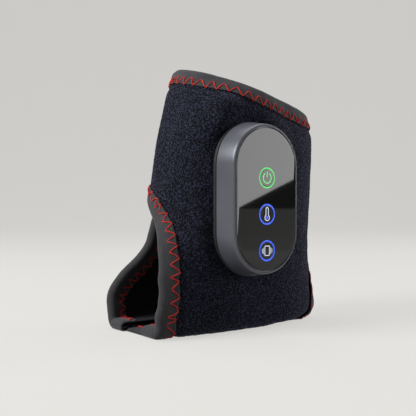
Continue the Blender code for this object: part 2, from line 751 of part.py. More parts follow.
def flap_lift(turn):
    raised = FLAP_LIFT + SHELL_THICKNESS
    return raised * smooth_step((turn - FLAP_ROOT_TURN) / FLAP_LIFT_TURN)


def flap_point(turn, descent, depth):
    """A point of the flap's outer surface, or at a depth below it. The flap rises over the slit's
    edge and lies outside the inner side of the wrap."""
    return wall_point(turn, descent, depth - flap_lift(turn))


def flap_edges(along):
    """The flap's top and lower edges, as descents, at a share of the way from its root to its end."""
    wall = WRAP_HEIGHT - SOLE_CORNER
    top = TOP_EDGE + FLAP_END_DROP / wall * along**2
    low = descent_at(FLAP_ROOT_LOW_SHARE) - FLAP_LOW_RISE / wall * along
    return top, low


def flap_corner_reach(across):
    """How far the rounded end reaches, as a share of the flap's length, at a share of its height."""
    middle = descent_at((1 + FLAP_ROOT_LOW_SHARE) / 2)
    turns = np.linspace(FLAP_ROOT_TURN, FLAP_END_TURN, FLAP_COLUMNS)
    places = [outer_point(turn, middle) for turn in turns]
    length = sum((b - a).length for a, b in zip(places, places[1:]))
    height = (HINGE_HIGH - HINGE_LOW).length
    outside = max(0.0, abs(across - 0.5) * height - (height / 2 - FLAP_CORNER))
    return 1 - (FLAP_CORNER - math.sqrt(FLAP_CORNER**2 - outside**2)) / length


def flap_places():
    """The flap's grid of (turn, descent), from its top edge down, with closer rows at its corners."""
    places = []
    for k in range(FLAP_ROWS):
        across = (1 - math.cos(math.pi * k / (FLAP_ROWS - 1))) / 2
        row = []
        for along in np.linspace(0, flap_corner_reach(across), FLAP_COLUMNS):
            top, low = flap_edges(along)
            descent = top + (low - top) * across
            root = root_turn(descent, 1) - FULL_TURN
            row.append((root + (FLAP_END_TURN - root) * along, descent))
        places.append(row)
    return places


def make_flap():
    places = flap_places()
    outer, inner = (
        [[flap_point(turn, d, depth) for turn, d in row] for row in places]
        for depth in (0.0, SHELL_THICKNESS)
    )
    flap = sheet_solid("closure_flap", outer, inner, "fleece")
    edge = places[0] + [row[-1] for row in places[1:-1]] + list(reversed(places[-1]))
    start = edge[0][0] + BINDING_END_TURN
    edge = [(max(turn, start), d) for turn, d in edge]
    middle = (math.radians(80), descent_at(0.75))
    stations = [edge_station(flap_point, edge, k, middle) for k in range(len(edge))]
    binding = swept_solid("flap_binding", stations, binding_profile(SHELL_THICKNESS), "binding")
    return [flap, binding]


def make_hook_tabs():
    """Rows of hooks on the flap's inner face, which hold on to the wrap's fleece."""
    tabs = []
    for name, row_share in zip(("upper_hook_tab", "lower_hook_tab"), HOOK_ROW_SHARES):
        descents = np.linspace(row_share - HOOK_HALF_SHARE, row_share + HOOK_HALF_SHARE, 4)
        grids = []
        for depth in (SHELL_THICKNESS + SEAT_GAP, SHELL_THICKNESS + SEAT_GAP + HOOK_THICKNESS):
            turns = np.linspace(*HOOK_TURNS, 7)
            grids.append([[flap_point(turn, d, depth) for turn in turns] for d in descents])
        tabs.append(sheet_solid(name, *grids, "hook"))
    return tabs


# The controller


def pill(height, width, y):
    """A pill's outline round the controller's middle, at a place along Y."""
    radius = width / 2
    run = (height - width) / 2
    points = []
    for k in range(CIRCLE_STEPS + 2):
        upper = k <= CIRCLE_STEPS / 2
        angle = math.pi * (k if upper else k - 1) / (CIRCLE_STEPS / 2)
        rise = run if upper else -run
        points.append(
            Vector((CASE_X + radius * math.cos(angle), y, CASE_Z + rise + radius * math.sin(angle)))
        )
    return points


def pill_prism(name, height, width, y_low, y_high, finish=None):
    return loft(name, [pill(height, width, y_low), pill(height, width, y_high)], finish)


def disc(x, z, radius, y, steps=CIRCLE_STEPS):
    angles = [k * FULL_TURN / steps for k in range(steps)]
    return [Vector((x + radius * math.cos(a), y, z + radius * math.sin(a))) for a in angles]


def cylinder(name, x, z, radius, y_low, y_high, finish=None, steps=16):
    return loft(name, [disc(x, z, radius, y, steps) for y in (y_low, y_high)], finish)


def box(name, low, high, finish=None):
    (x0, y0, z0), (x1, y1, z1) = low, high
    corners = [(x0, z0), (x1, z0), (x1, z1), (x0, z1)]
    return loft(name, [[Vector((x, y, z)) for x, z in corners] for y in (y0, y1)], finish)


def block(name, x, z, width, height, y_low, y_high, finish=None):
    low = (x - width / 2, y_low, z - height / 2)
    return box(name, low, (x + width / 2, y_high, z + height / 2), finish)


PANEL_BACK_Y = CASE_FACE_Y + PANEL_THICKNESS
LEDGE_Y = PANEL_BACK_Y + SEAT_GAP
LEDGE_BACK_Y = LEDGE_Y + CASE_FRONT_WALL
BOARD_Y = CASE_FACE_Y + BOARD_DEPTH
BOARD_BACK_Y = BOARD_Y + BOARD_THICKNESS
SWITCH_Y = BOARD_Y - SOLDER_GAP - SWITCH_THICKNESS
BACK_SHELL_Y = CASE_BASE_Y - BACK_SHELL_THICKNESS
FABRIC_BACK_Y = -PAD_REACH + WALL_DEPTH
CLAMP_PLATE_Y = FABRIC_BACK_Y + SEAT_GAP
CLAMP_PLATE_BACK_Y = CLAMP_PLATE_Y + CLAMP_PLATE_THICKNESS
POWER_KEY_Z = CASE_Z + POWER_KEY_RISE
KEY_PLACES = {
    "power": POWER_KEY_Z,
    "heat": POWER_KEY_Z - KEY_PITCH,
    "massage": POWER_KEY_Z - 2 * KEY_PITCH,
}
CASE_SCREW_PLACES = [
    (CASE_X + side * CASE_SCREW_X, CASE_Z + level * CASE_SCREW_Z) for level in (1, -1) for side in (-1, 1)
]
CLAMP_SCREW_PLACES = [(CASE_X, CASE_Z + level * CLAMP_SCREW_Z) for level in (1, -1)]
MOTOR_Z = CASE_Z - MOTOR_DROP
MOTOR_Y = BOARD_BACK_Y + (BACK_SHELL_Y - BOARD_BACK_Y) / 2
BORE_RADIUS = SCREW_RADIUS + SCREW_CLEARANCE
HEAD_BORE_RADIUS = SCREW_HEAD_RADIUS + SCREW_CLEARANCE
KEY_RADIUS = RING_OUTER / 2 - RING_STROKE - KEY_CLEARANCE
LEAD_Z = CASE_Z - LEAD_DROP


def make_front_shell():
    """The grey case: a tapered pill, hollow from behind, with a recess for the panel."""
    front = CASE_HEIGHT - 2 * CASE_TAPER, CASE_WIDTH - 2 * CASE_TAPER
    case_back_y = BACK_SHELL_Y - SEAT_GAP
    rings = [
        pill(CASE_HEIGHT, CASE_WIDTH, case_back_y),
        pill(*front, CASE_FACE_Y + CASE_FRONT_CHAMFER),
        pill(front[0] - 2 * CASE_FRONT_CHAMFER, front[1] - 2 * CASE_FRONT_CHAMFER, CASE_FACE_Y),
    ]
    shell = loft("front_shell", rings, "case_paint")
    walls = 2 * CASE_WALL
    rings = [
        pill(CASE_HEIGHT - walls, CASE_WIDTH - walls, case_back_y + CUT_OVERRUN),
        pill(CASE_HEIGHT - walls, CASE_WIDTH - walls, case_back_y),
        pill(front[0] - walls, front[1] - walls, LEDGE_BACK_Y),
    ]
    cut(shell, loft("case_cavity_cutter", rings))
    recess = PANEL_HEIGHT + 2 * PANEL_CLEARANCE, PANEL_WIDTH + 2 * PANEL_CLEARANCE
    cut(shell, pill_prism("panel_recess_cutter", *recess, CASE_FACE_Y - CUT_OVERRUN, LEDGE_Y))
    stem_hole = KEY_STEM_WIDTH / 2 + 2 * KEY_CLEARANCE
    for name, z in KEY_PLACES.items():
        through = (LEDGE_Y - CUT_OVERRUN, LEDGE_BACK_Y + CUT_OVERRUN)
        cut(shell, cylinder(f"{name}_stem_cutter", CASE_X, z, stem_hole, *through))
    for k, (x, z) in enumerate(CASE_SCREW_PLACES, 1):
        boss_end = BACK_SHELL_Y - SEAT_GAP
        boss = cylinder(f"case_boss_{k}", x, z, BOSS_RADIUS, LEDGE_BACK_Y - CASE_FRONT_WALL / 2, boss_end)
        cut(shell, boss, "UNION")
    for k, (x, z) in enumerate(CASE_SCREW_PLACES, 1):
        deep = case_screw_tip_y() - SEAT_GAP
        cut(shell, cylinder(f"case_bore_cutter_{k}", x, z, BORE_RADIUS, deep, BACK_SHELL_Y + CUT_OVERRUN))
    low = CASE_Z - CASE_HEIGHT / 2 - CUT_OVERRUN
    width = SOCKET_WIDTH + 2 * PANEL_CLEARANCE
    y_low, y_high = SOCKET_Y - PANEL_CLEARANCE, SOCKET_Y + SOCKET_THICKNESS + PANEL_CLEARANCE
    port = ((CASE_X - width / 2, y_low, low), (CASE_X + width / 2, y_high, CASE_Z - BOARD_HEIGHT / 2))
    cut(shell, box("charging_port_cutter", *port))


def case_screw_tip_y():
    return BACK_SHELL_Y + SCREW_HEAD_SEAT - CASE_SCREW_LENGTH


SCREW_HEAD_SEAT = BACK_SHELL_THICKNESS - SCREW_HEAD_THICKNESS - SCREW_FLOOR
SOCKET_Y = BOARD_BACK_Y + SOLDER_GAP


def make_back_shell():
    """The black base, with a skirt round the case, motor ribs and bosses for the clamp screws."""
    outline = CASE_HEIGHT + 2 * BACK_SHELL_PROUD, CASE_WIDTH + 2 * BACK_SHELL_PROUD
    shell = pill_prism("back_shell", *outline, BACK_SHELL_Y, CASE_BASE_Y, "case_black")
    for k, (x, z) in enumerate(CLAMP_SCREW_PLACES, 1):
        end = BACK_SHELL_Y - CLAMP_BOSS_HEIGHT
        root = BACK_SHELL_Y + BACK_SHELL_THICKNESS / 2
        cut(shell, cylinder(f"clamp_boss_{k}", x, z, BOSS_RADIUS, end, root), "UNION")
    for level, side in ((1, "upper"), (-1, "lower")):
        z = MOTOR_Z + level * (MOTOR_RADIUS + MOTOR_BORE_CLEARANCE + CRADLE_WALL / 2)
        y_low = BACK_SHELL_Y - CRADLE_HEIGHT
        root = BACK_SHELL_Y + BACK_SHELL_THICKNESS / 2
        rib = block(f"{side}_motor_rib", CASE_X, z, CRADLE_LENGTH, CRADLE_WALL, y_low, root)
        cut(shell, rib, "UNION")
    for k, (x, z) in enumerate(CASE_SCREW_PLACES, 1):
        seat = BACK_SHELL_Y + SCREW_HEAD_SEAT - SEAT_GAP
        rings = [
            disc(x, z, BORE_RADIUS, BACK_SHELL_Y - CUT_OVERRUN, 16),
            disc(x, z, BORE_RADIUS, seat, 16),
            disc(x, z, HEAD_BORE_RADIUS, seat, 16),
            disc(x, z, HEAD_BORE_RADIUS, CASE_BASE_Y + CUT_OVERRUN, 16),
        ]
        cut(shell, loft(f"case_hole_cutter_{k}", rings))
    for k, (x, z) in enumerate(CLAMP_SCREW_PLACES, 1):
        deep = BACK_SHELL_Y - CLAMP_BOSS_HEIGHT + BACK_SHELL_THICKNESS / 2
        bore = cylinder(f"clamp_bore_cutter_{k}", x, z, BORE_RADIUS, deep, CASE_BASE_Y + CUT_OVERRUN)
        cut(shell, bore)
    cut(shell, lead_cutter("back_shell_lead_cutter"))


def lead_cutter(name):
    width, height = LEAD_WIDTH + 2 * LEAD_CLEARANCE, LEAD_THICKNESS + 2 * LEAD_CLEARANCE
    return block(name, CASE_X, LEAD_Z, width, height, BACK_SHELL_Y - CUT_OVERRUN, LEAD_BACK_Y + SEAT_GAP)


LEAD_BACK_Y = -PAD_REACH + FILM_DEPTH - SEAT_GAP


def make_heater_lead(body):
    cut(body, lead_cutter("wrap_lead_cutter"))
    front = BOARD_BACK_Y + SEAT_GAP
    block("heater_lead", CASE_X, LEAD_Z, LEAD_WIDTH, LEAD_THICKNESS, front, LEAD_BACK_Y, "film")


def screw(name, x, z, tip_y, head_y):
    """A screw along Y, whose head's inner face stands at head_y."""
    shank = SCREW_RADIUS
    rings = [
        disc(x, z, shank, tip_y, 12), disc(x, z, shank, head_y, 12),
        disc(x, z, SCREW_HEAD_RADIUS, head_y, 12),
        disc(x, z, SCREW_HEAD_RADIUS, head_y + SCREW_HEAD_THICKNESS, 12),
    ]
    loft(name, rings, "steel")


def make_case_screws():
    head_y = BACK_SHELL_Y + SCREW_HEAD_SEAT
    for k, (x, z) in enumerate(CASE_SCREW_PLACES, 1):
        screw(f"case_screw_{k}", x, z, head_y - CASE_SCREW_LENGTH, head_y)


def make_clamp(body, lining):
    """The plate inside the wrap, and the screws that hold wrap and controller together through it."""
    plate = pill_prism(
        "clamp_plate", CLAMP_PLATE_HEIGHT, CLAMP_PLATE_WIDTH, CLAMP_PLATE_Y, CLAMP_PLATE_BACK_Y, "case_black"
    )
    tip_y = BACK_SHELL_Y - CLAMP_BOSS_HEIGHT + BACK_SHELL_THICKNESS / 2 + SEAT_GAP
    head_y = CLAMP_PLATE_BACK_Y + SEAT_GAP
    for k, (x, z) in enumerate(CLAMP_SCREW_PLACES, 1):
        through = (CASE_BASE_Y - CUT_OVERRUN, CLAMP_PLATE_BACK_Y + CUT_OVERRUN)
        hole = cylinder(f"clamp_hole_cutter_{k}", x, z, BORE_RADIUS, *through)
        for piece in (plate, body, lining):
            cut(piece, hole)
        screw(f"clamp_screw_{k}", x, z, tip_y, head_y)


def make_face_panel():
    panel = pill_prism("face_panel", PANEL_HEIGHT, PANEL_WIDTH, CASE_FACE_Y, PANEL_BACK_Y, "panel")
    for name, z in KEY_PLACES.items():
        radius = RING_OUTER / 2 + KEY_CLEARANCE
        through = (CASE_FACE_Y - CUT_OVERRUN, PANEL_BACK_Y + CUT_OVERRUN)
        cut(panel, cylinder(f"{name}_ring_cutter", CASE_X, z, radius, *through, steps=CIRCLE_STEPS))


def make_rings():
    """The lit rings: light guides that stand on the case's ledge, round the keys."""
    for name, z in KEY_PLACES.items():
        finish = "ring_green" if name == "power" else "ring_blue"
        through = (CASE_FACE_Y, PANEL_BACK_Y)
        ring = cylinder(f"{name}_ring", CASE_X, z, RING_OUTER / 2, *through, finish, CIRCLE_STEPS)
        inner = RING_OUTER / 2 - RING_STROKE
        past = (CASE_FACE_Y - CUT_OVERRUN, PANEL_BACK_Y + CUT_OVERRUN)
        cut(ring, cylinder(f"{name}_key_cutter", CASE_X, z, inner, *past, steps=CIRCLE_STEPS))


def make_keys():
    """Each key travels straight in along Y. Its stem stops short of its switch."""
    for name, z in KEY_PLACES.items():
        cap_back = LEDGE_Y - KEY_TRAVEL - KEY_CLEARANCE
        stem = KEY_STEM_WIDTH / 2
        rings = [
            disc(CASE_X, z, KEY_RADIUS, CASE_FACE_Y, 24), disc(CASE_X, z, KEY_RADIUS, cap_back, 24),
            disc(CASE_X, z, stem, cap_back, 24), disc(CASE_X, z, stem, SWITCH_Y - SWITCH_GAP, 24),
        ]
        key = loft(f"{name}_key", rings, "panel")
        set_origin(key, Vector((CASE_X, CASE_FACE_Y, z)))


def set_origin(piece, origin):
    piece.data.transform(Matrix.Translation(-origin))
    piece.location = origin


def make_board():
    pill_prism("main_board", BOARD_HEIGHT, BOARD_WIDTH, BOARD_Y, BOARD_BACK_Y, "board")
    front = BOARD_Y - SOLDER_GAP
    for name, z in KEY_PLACES.items():
        switch = (SWITCH_WIDTH, SWITCH_WIDTH, SWITCH_Y, front)
        block(f"{name}_switch", CASE_X, z, *switch, "component")
        lamp_z = z + RING_OUTER / 2 - RING_STROKE / 2
        lamp = (LAMP_WIDTH, LAMP_HEIGHT, front - LAMP_THICKNESS, front)
        block(f"{name}_lamp", CASE_X, lamp_z, *lamp, "lamp")
    chip_z = CASE_Z + BATTERY_RISE + BATTERY_HEIGHT / 3
    block("control_chip", CASE_X, chip_z, CHIP_WIDTH, CHIP_WIDTH, front - CHIP_THICKNESS, front, "component")


def make_battery():
    back = BACK_SHELL_Y - SEAT_GAP
    place = (CASE_X, CASE_Z + BATTERY_RISE, BATTERY_WIDTH, BATTERY_HEIGHT, back - BATTERY_THICKNESS, back)
    battery = block("battery", *place, "battery")
    rounding = battery.modifiers.new("rounding", "BEVEL")
    rounding.width = BATTERY_ROUND
    rounding.segments = 2
    rounding.limit_method = "ANGLE"


def make_charging_socket():
    bottom = CASE_Z - CASE_HEIGHT / 2 * SOCKET_BOTTOM_SHARE
    top = bottom + SOCKET_LENGTH
    half = SOCKET_WIDTH / 2
    low, high = (CASE_X - half, SOCKET_Y, bottom), (CASE_X + half, SOCKET_Y + SOCKET_THICKNESS, top)
    socket = box("charging_socket", low, high, "steel")
    wall = SOCKET_WALL
    low = (CASE_X - half + wall, SOCKET_Y + wall, bottom - CUT_OVERRUN)
    high = (CASE_X + half - wall, SOCKET_Y + SOCKET_THICKNESS - wall, top - wall)
    cut(socket, box("socket_mouth_cutter", low, high))


def ring_along_x(x, radius, steps=20, half=False):
    """A circle across X round the motor's axis, or its lower half."""
    turn = math.pi if half else FULL_TURN
    count = steps // 2 if half else steps
    angles = [turn + k * turn / (count if not half else count - 1) for k in range(count)]
    return [Vector((x, MOTOR_Y + radius * math.cos(a), MOTOR_Z + radius * math.sin(a))) for a in angles]


def make_motor():
    left, right = CASE_X - MOTOR_LENGTH / 2, CASE_X + MOTOR_LENGTH / 2
    can = loft("vibration_motor", [ring_along_x(x, MOTOR_RADIUS) for x in (left, right)], "steel")
    bore = MOTOR_SHAFT_RADIUS + MOTOR_BORE_CLEARANCE
    inside = right - MOTOR_SHAFT_LENGTH / 2
    bore_ends = (inside - MOTOR_BORE_CLEARANCE, right + CUT_OVERRUN)
    cut(can, loft("motor_bore_cutter", [ring_along_x(x, bore, 12) for x in bore_ends]))
    shaft_ends = (inside, right + MOTOR_SHAFT_LENGTH)
    shaft = [ring_along_x(x, MOTOR_SHAFT_RADIUS, 12) for x in shaft_ends]
    rotor = loft("motor_weight", shaft, "steel")
    start = right + MOTOR_SHAFT_LENGTH - WEIGHT_LENGTH - MOTOR_SHAFT_RADIUS
    weight_ends = (start, start + WEIGHT_LENGTH)
    cut(rotor, loft("motor_hub", [ring_along_x(x, WEIGHT_RADIUS / 2, 12) for x in weight_ends]), "UNION")
    halves = [ring_along_x(x, WEIGHT_RADIUS, 24, half=True) for x in weight_ends]
    cut(rotor, loft("motor_half_weight", halves), "UNION")
    set_origin(rotor, Vector((right, MOTOR_Y, MOTOR_Z)))


def main():
    for old in list(bpy.data.objects):
        bpy.data.objects.remove(old, do_unlink=True)
    heel_cutter = make_heel_cutter()
    body = make_wrap_body(heel_cutter)
    lining = make_lining(heel_cutter)
    make_films()
    make_gusset(heel_cutter)
    make_top_binding()
    make_toe_bindings()
    make_heel_binding()
    for piece in make_flap() + make_hook_tabs():
        set_origin(piece, HINGE_POINT)
    make_back_shell()
    make_heater_lead(body)
    make_clamp(body, lining)
    make_front_shell()
    make_case_screws()
    make_face_panel()
    make_rings()
    make_keys()
    make_board()
    make_battery()
    make_charging_socket()
    make_motor()


main()
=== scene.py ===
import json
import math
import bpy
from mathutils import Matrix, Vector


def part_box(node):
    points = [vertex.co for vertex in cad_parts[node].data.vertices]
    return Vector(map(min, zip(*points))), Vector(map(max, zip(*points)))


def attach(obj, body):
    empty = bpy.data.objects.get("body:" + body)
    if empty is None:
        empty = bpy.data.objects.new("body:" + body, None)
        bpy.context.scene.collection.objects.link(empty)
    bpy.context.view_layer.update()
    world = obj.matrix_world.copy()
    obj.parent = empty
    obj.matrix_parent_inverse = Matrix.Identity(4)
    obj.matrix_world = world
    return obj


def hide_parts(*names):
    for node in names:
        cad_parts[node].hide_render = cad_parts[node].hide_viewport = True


bl_info = {
    "name": "Heated Ankle Wrap",
    "version": (1, 0, 0),
    "blender": (4, 5, 0),
    "location": "View3D > Sidebar > Ankle Wrap",
    "description": "Dresses a heated massaging ankle wrap and its controller",
    "category": "Add Mesh",
}

import bmesh
import bpy
import numpy as np
from bpy.props import FloatProperty, FloatVectorProperty, PointerProperty
from mathutils import Matrix, Vector, noise
from mathutils.bvhtree import BVHTree
from mathutils.kdtree import KDTree

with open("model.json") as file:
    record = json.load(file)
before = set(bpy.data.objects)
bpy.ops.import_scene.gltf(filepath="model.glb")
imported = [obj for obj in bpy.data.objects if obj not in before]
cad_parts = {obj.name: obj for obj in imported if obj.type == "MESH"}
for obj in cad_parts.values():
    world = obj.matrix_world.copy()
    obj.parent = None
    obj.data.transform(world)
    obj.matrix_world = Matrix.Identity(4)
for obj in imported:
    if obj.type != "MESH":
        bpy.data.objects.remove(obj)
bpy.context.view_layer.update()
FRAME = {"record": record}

MM = 0.001
FULL_TURN = 2 * math.pi

# The wrap's shape, with the sizes of the solid part
WRAP_HEIGHT = 170 * MM
ANKLE_LENGTH = 113 * MM
ANKLE_WIDTH = 74.4 * MM
SECTION_POWER = 2.3
TOP_DROP = 0.1794 * WRAP_HEIGHT
TOP_TILT_RUN = 95.6 * MM
TOP_TILT_START = 44.6 * MM
TOP_TILT_TURN = math.radians(40)
SOLE_CORNER = 7.5 * MM
HEEL_RISE_START = 24 * MM
HEEL_RISE_RUN = 12 * MM
SECTION_SHARES = (
    (0.0, 0.960, 0.565, 0.462),
    (0.062, 1.000, 0.546, 0.480),
    (0.125, 1.038, 0.524, 0.489),
    (0.188, 0.966, 0.508, 0.495),
    (0.250, 0.832, 0.500, 0.495),
    (0.312, 0.708, 0.498, 0.497),
    (0.356, 0.626, 0.495, 0.497),
    (0.406, 0.558, 0.499, 0.503),
    (0.456, 0.527, 0.502, 0.506),
    (0.531, 0.508, 0.508, 0.507),
    (0.625, 0.484, 0.518, 0.500),
    (0.750, 0.449, 0.540, 0.479),
    (0.875, 0.397, 0.548, 0.457),
    (1.0, 0.316, 0.506, 0.436),
)
OUTER_RIM_SHARES = (
    (0.0, 50.0), (0.069, 51.0), (0.112, 53.5), (0.162, 52.5), (0.219, 46.8), (0.269, 39.5),
    (0.312, 31.0), (0.356, 20.0), (0.406, 4.0), (0.440, -8.0), (0.470, -22.0),
)
INNER_RIM_SHARES = (
    (0.0, 48.0), (0.062, 49.5), (0.125, 52.5), (0.188, 55.0), (0.250, 58.0), (0.300, 58.5),
    (0.350, 54.5), (0.394, 51.0), (0.440, 52.0), (0.500, 57.0), (0.560, 60.0), (1.0, 61.0),
)
SHELL_THICKNESS = 2.4 * MM
LINING_DEPTH = 3.8 * MM
LINING_THICKNESS = 0.6 * MM
WALL_DEPTH = LINING_DEPTH + LINING_THICKNESS
FLAP_ROOT_TURN = math.radians(36)
FLAP_ROOT_LOW_SHARE = 0.492
FLAP_HINGE_GAP = 0.25 * MM
FLAP_END_TURN = math.radians(118)
FLAP_LIFT_TURN = math.radians(21)
FLAP_LIFT = 2.6 * MM
FLAP_CORNER = 15 * MM
FLAP_LOW_RISE = 9 * MM
FLAP_END_DROP = 6 * MM
HOOK_THICKNESS = 1.7 * MM
HOOK_TURNS = (math.radians(74), math.radians(104))
HOOK_ROW_SHARES = (0.19, 0.35)
HOOK_HALF_SHARE = 0.055
SEAT_GAP = 0.3 * MM
BINDING_LEG = 9.0 * MM
BINDING_THICKNESS = 0.6 * MM
BINDING_OUTER_GAP = 0.5 * MM
BINDING_INNER_GAP = 0.65 * MM
BINDING_NOSE_GAP = 0.6 * MM
BINDING_NOSE = 2.2 * MM
HEEL_BINDING_EASE = 0.9 * MM
HEEL_FLOOR_CLEARANCE = 0.1 * MM
BINDING_END_TURN = math.radians(2.2)
STITCH_LINE = 0.74 * BINDING_LEG
OUTER_BINDING_TOP_SHARE = 0.482
GUSSET_WIDTH = 19 * MM
GUSSET_THICKNESS = 2.2 * MM
GUSSET_CLEARANCE = 0.3 * MM
HEEL_OPENING_WIDTH = 36 * MM
HEEL_OPENING_HEIGHT = 48 * MM
HEEL_OPENING_ALONG = 60 * MM
HEEL_OPENING_TILT = math.radians(45)
HEEL_RIM_X = HEEL_OPENING_ALONG - HEEL_OPENING_HEIGHT * 0.5 / math.sin(HEEL_OPENING_TILT)
PAD_WIDTH = 42 * MM
PAD_HEIGHT = 112 * MM
PAD_FALLOFF = 22 * MM
PAD_REACH = ANKLE_WIDTH * 0.5

# The controller's places come from the loaded frame
CASE_LOW, CASE_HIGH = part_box("front_shell")
CASE_X = (CASE_LOW[0] + CASE_HIGH[0]) / 2
CASE_Z = (CASE_LOW[2] + CASE_HIGH[2]) / 2
CASE_HEIGHT = CASE_HIGH[2] - CASE_LOW[2]
CASE_WIDTH = CASE_HIGH[0] - CASE_LOW[0]
CASE_FACE_Y = CASE_LOW[1]
CASE_BACK_Y = CASE_HIGH[1]
CASE_TAPER = 2.0 * MM
CASE_CHAMFER = 1.2 * MM
CASE_WALL = 2.0 * MM
LEDGE_Y = CASE_FACE_Y + 1.5 * MM
LEDGE_BACK_Y = LEDGE_Y + 1.5 * MM
KEY_NAMES = ("power", "heat", "massage")
CLAMP_SCREWS = ("clamp_screw_1", "clamp_screw_2")

# Brushed loops of the fleece to the metre
NAP_WAVES = 900

# How finely edges and openings are divided
EDGE_STEPS = 420
TOE_EDGE_STEPS = 300
HEEL_STEPS = 190
HEEL_COLUMNS = 150


def joint_named(name):
    for joint in FRAME["record"]["behaviour"]["joints"]:
        if joint["name"] == name:
            return joint
    raise RuntimeError(f"no joint {name}")


# Curves and surfaces, worked out for arrays of places


def through(table, at):
    """A smooth curve through rows of (key, value, ...), read at an array of keys."""
    rows = np.array(table, float)
    keys, values = rows[:, 0], rows[:, 1:]
    count = np.arange(len(keys))
    low, high = np.maximum(count - 1, 0), np.minimum(count + 1, len(keys) - 1)
    slopes = (values[high] - values[low]) / (keys[high] - keys[low])[:, None]
    at = np.clip(np.asarray(at, float), keys[0], keys[-1])
    index = np.clip(np.searchsorted(keys, at, side="right") - 1, 0, len(keys) - 2)
    span = (keys[index + 1] - keys[index])[..., None]
    t = (at - keys[index])[..., None] / span
    t2, t3 = t * t, t * t * t
    return (
        (2 * t3 - 3 * t2 + 1) * values[index]
        + (t3 - 2 * t2 + t) * span * slopes[index]
        + (3 * t2 - 2 * t3) * values[index + 1]
        + (t3 - t2) * span * slopes[index + 1]
    )


def smooth_step(value):
    value = np.clip(value, 0.0, 1.0)
    return value * value * (3 - 2 * value)


def unit(vectors):
    return vectors / np.maximum(np.linalg.norm(vectors, axis=-1, keepdims=True), 1e-12)


def beyond_pill(x, z, height, width):
    """How far a place lies outside a pill round the controller's middle."""
    run = (height - width) / 2
    nearest = np.clip(z, CASE_Z - run, CASE_Z + run)
    return np.hypot(x - CASE_X, z - nearest) - width / 2


def sole_lift(x):
    rise = smooth_step((x - HEEL_RIM_X + HEEL_RISE_START) / HEEL_RISE_RUN)
    return BINDING_OUTER_GAP + BINDING_THICKNESS + (HEEL_BINDING_EASE + HEEL_FLOOR_CLEARANCE) * rise


def outer(turn, descent):
    """The wrap's outer surface. descent runs 0 to 1 down the wall, to 2 round the sole's corner, to 3
    across the sole to the gusset and to 4 at its middle."""
    turn, descent = np.broadcast_arrays(np.asarray(turn, float), np.asarray(descent, float))
    height = WRAP_HEIGHT + (SOLE_CORNER - WRAP_HEIGHT) * np.minimum(descent, 1.0)
    shares = through(SECTION_SHARES, height / WRAP_HEIGHT)
    toe, heel = shares[..., 0] * ANKLE_LENGTH, shares[..., 1] * ANKLE_LENGTH
    width = shares[..., 2] * ANKLE_WIDTH
    bend = math.radians(90) * np.clip(descent - 1, 0.0, 1.0)
    inset = SOLE_CORNER * (1 - np.cos(bend))
    height = height - SOLE_CORNER * np.sin(bend)
    c, s = np.cos(turn), np.sin(turn)
    x = np.where(c > 0, -toe, heel - inset) * np.abs(c) ** (2 / SECTION_POWER)
    y = np.copysign((width - inset) * np.abs(s) ** (2 / SECTION_POWER), s)
    across = np.clip(descent - 2, 0.0, 1.0)
    y = y + (np.copysign(np.minimum(np.abs(y), GUSSET_WIDTH / 2), y) - y) * across
    y = y * (1 - np.maximum(0.0, descent - 3))
    x = x - np.maximum(0.0, x - HEEL_RIM_X) / 2 * across
    tilt = x * math.cos(TOP_TILT_TURN) - y * math.sin(TOP_TILT_TURN) + TOP_TILT_START
    share = height / WRAP_HEIGHT
    z = height - TOP_DROP * tilt / TOP_TILT_RUN * share**2 + sole_lift(x) * (1 - share)
    pad = 1 - smooth_step(beyond_pill(x, z, PAD_HEIGHT, PAD_WIDTH) / PAD_FALLOFF)
    pad = pad * np.clip(2 - descent, 0.0, 1.0) * (y < 0)
    return np.stack([x, y + (-PAD_REACH - y) * pad, z], axis=-1)


def outer_normal(turn, descent):
    turn, descent = np.broadcast_arrays(np.asarray(turn, float), np.asarray(descent, float))
    small_turn, small = math.radians(0.6), 0.012
    across = outer(turn + small_turn, descent) - outer(turn - small_turn, descent)
    low = np.clip(descent - small, 0.0, 3.0 - 2 * small)
    down = outer(turn, np.minimum(3.0, descent + small)) - outer(turn, low)
    found = unit(np.cross(across, down))
    return np.where((descent < 3)[..., None], found, np.array([0.0, 0.0, -1.0]))


def wall(turn, descent, depth):
    """A place at a depth below the outer surface, or above it where depth is negative."""
    return outer(turn, descent) - outer_normal(turn, descent) * np.asarray(depth, float)[..., None]


def descent_at(share):
    return (1 - share) * WRAP_HEIGHT / (WRAP_HEIGHT - SOLE_CORNER)


def share_at(descent):
    return 1 - np.minimum(descent, 1.0) * (WRAP_HEIGHT - SOLE_CORNER) / WRAP_HEIGHT


TOP_EDGE = BINDING_NOSE / (WRAP_HEIGHT - SOLE_CORNER)
ROOT_TURN = FULL_TURN + FLAP_ROOT_TURN
FLAP_HINGE = joint_named("flap_open")
HINGE_POINT = np.array(FLAP_HINGE["pos_m"])
HINGE_DIRECTION = np.array(FLAP_HINGE["axis"])
FLAP_MIDDLE = descent_at((1 + FLAP_ROOT_LOW_SHARE) / 2)
HINGE_ACROSS = unit(np.cross(HINGE_DIRECTION, outer_normal(ROOT_TURN, FLAP_MIDDLE)))


def root_turn(descent, side):
    """The turn where the wall meets the plane through the flap's hinge, less the hinge gap."""
    descent = np.atleast_1d(np.asarray(descent, float))
    reach, steps = math.radians(14), 29
    turns = np.linspace(ROOT_TURN - reach, ROOT_TURN + reach, steps)
    places = outer(turns[None, :], descent[:, None])
    forward = places[:, -1] - places[:, 0]
    facing = np.sign(forward @ HINGE_ACROSS)
    offsets = ((places - HINGE_POINT) @ HINGE_ACROSS) * facing[:, None]
    return np.array([np.interp(side * FLAP_HINGE_GAP, row, turns) for row in offsets])


def inner_rim(descent):
    return np.radians(through(INNER_RIM_SHARES, share_at(descent))[..., 0])


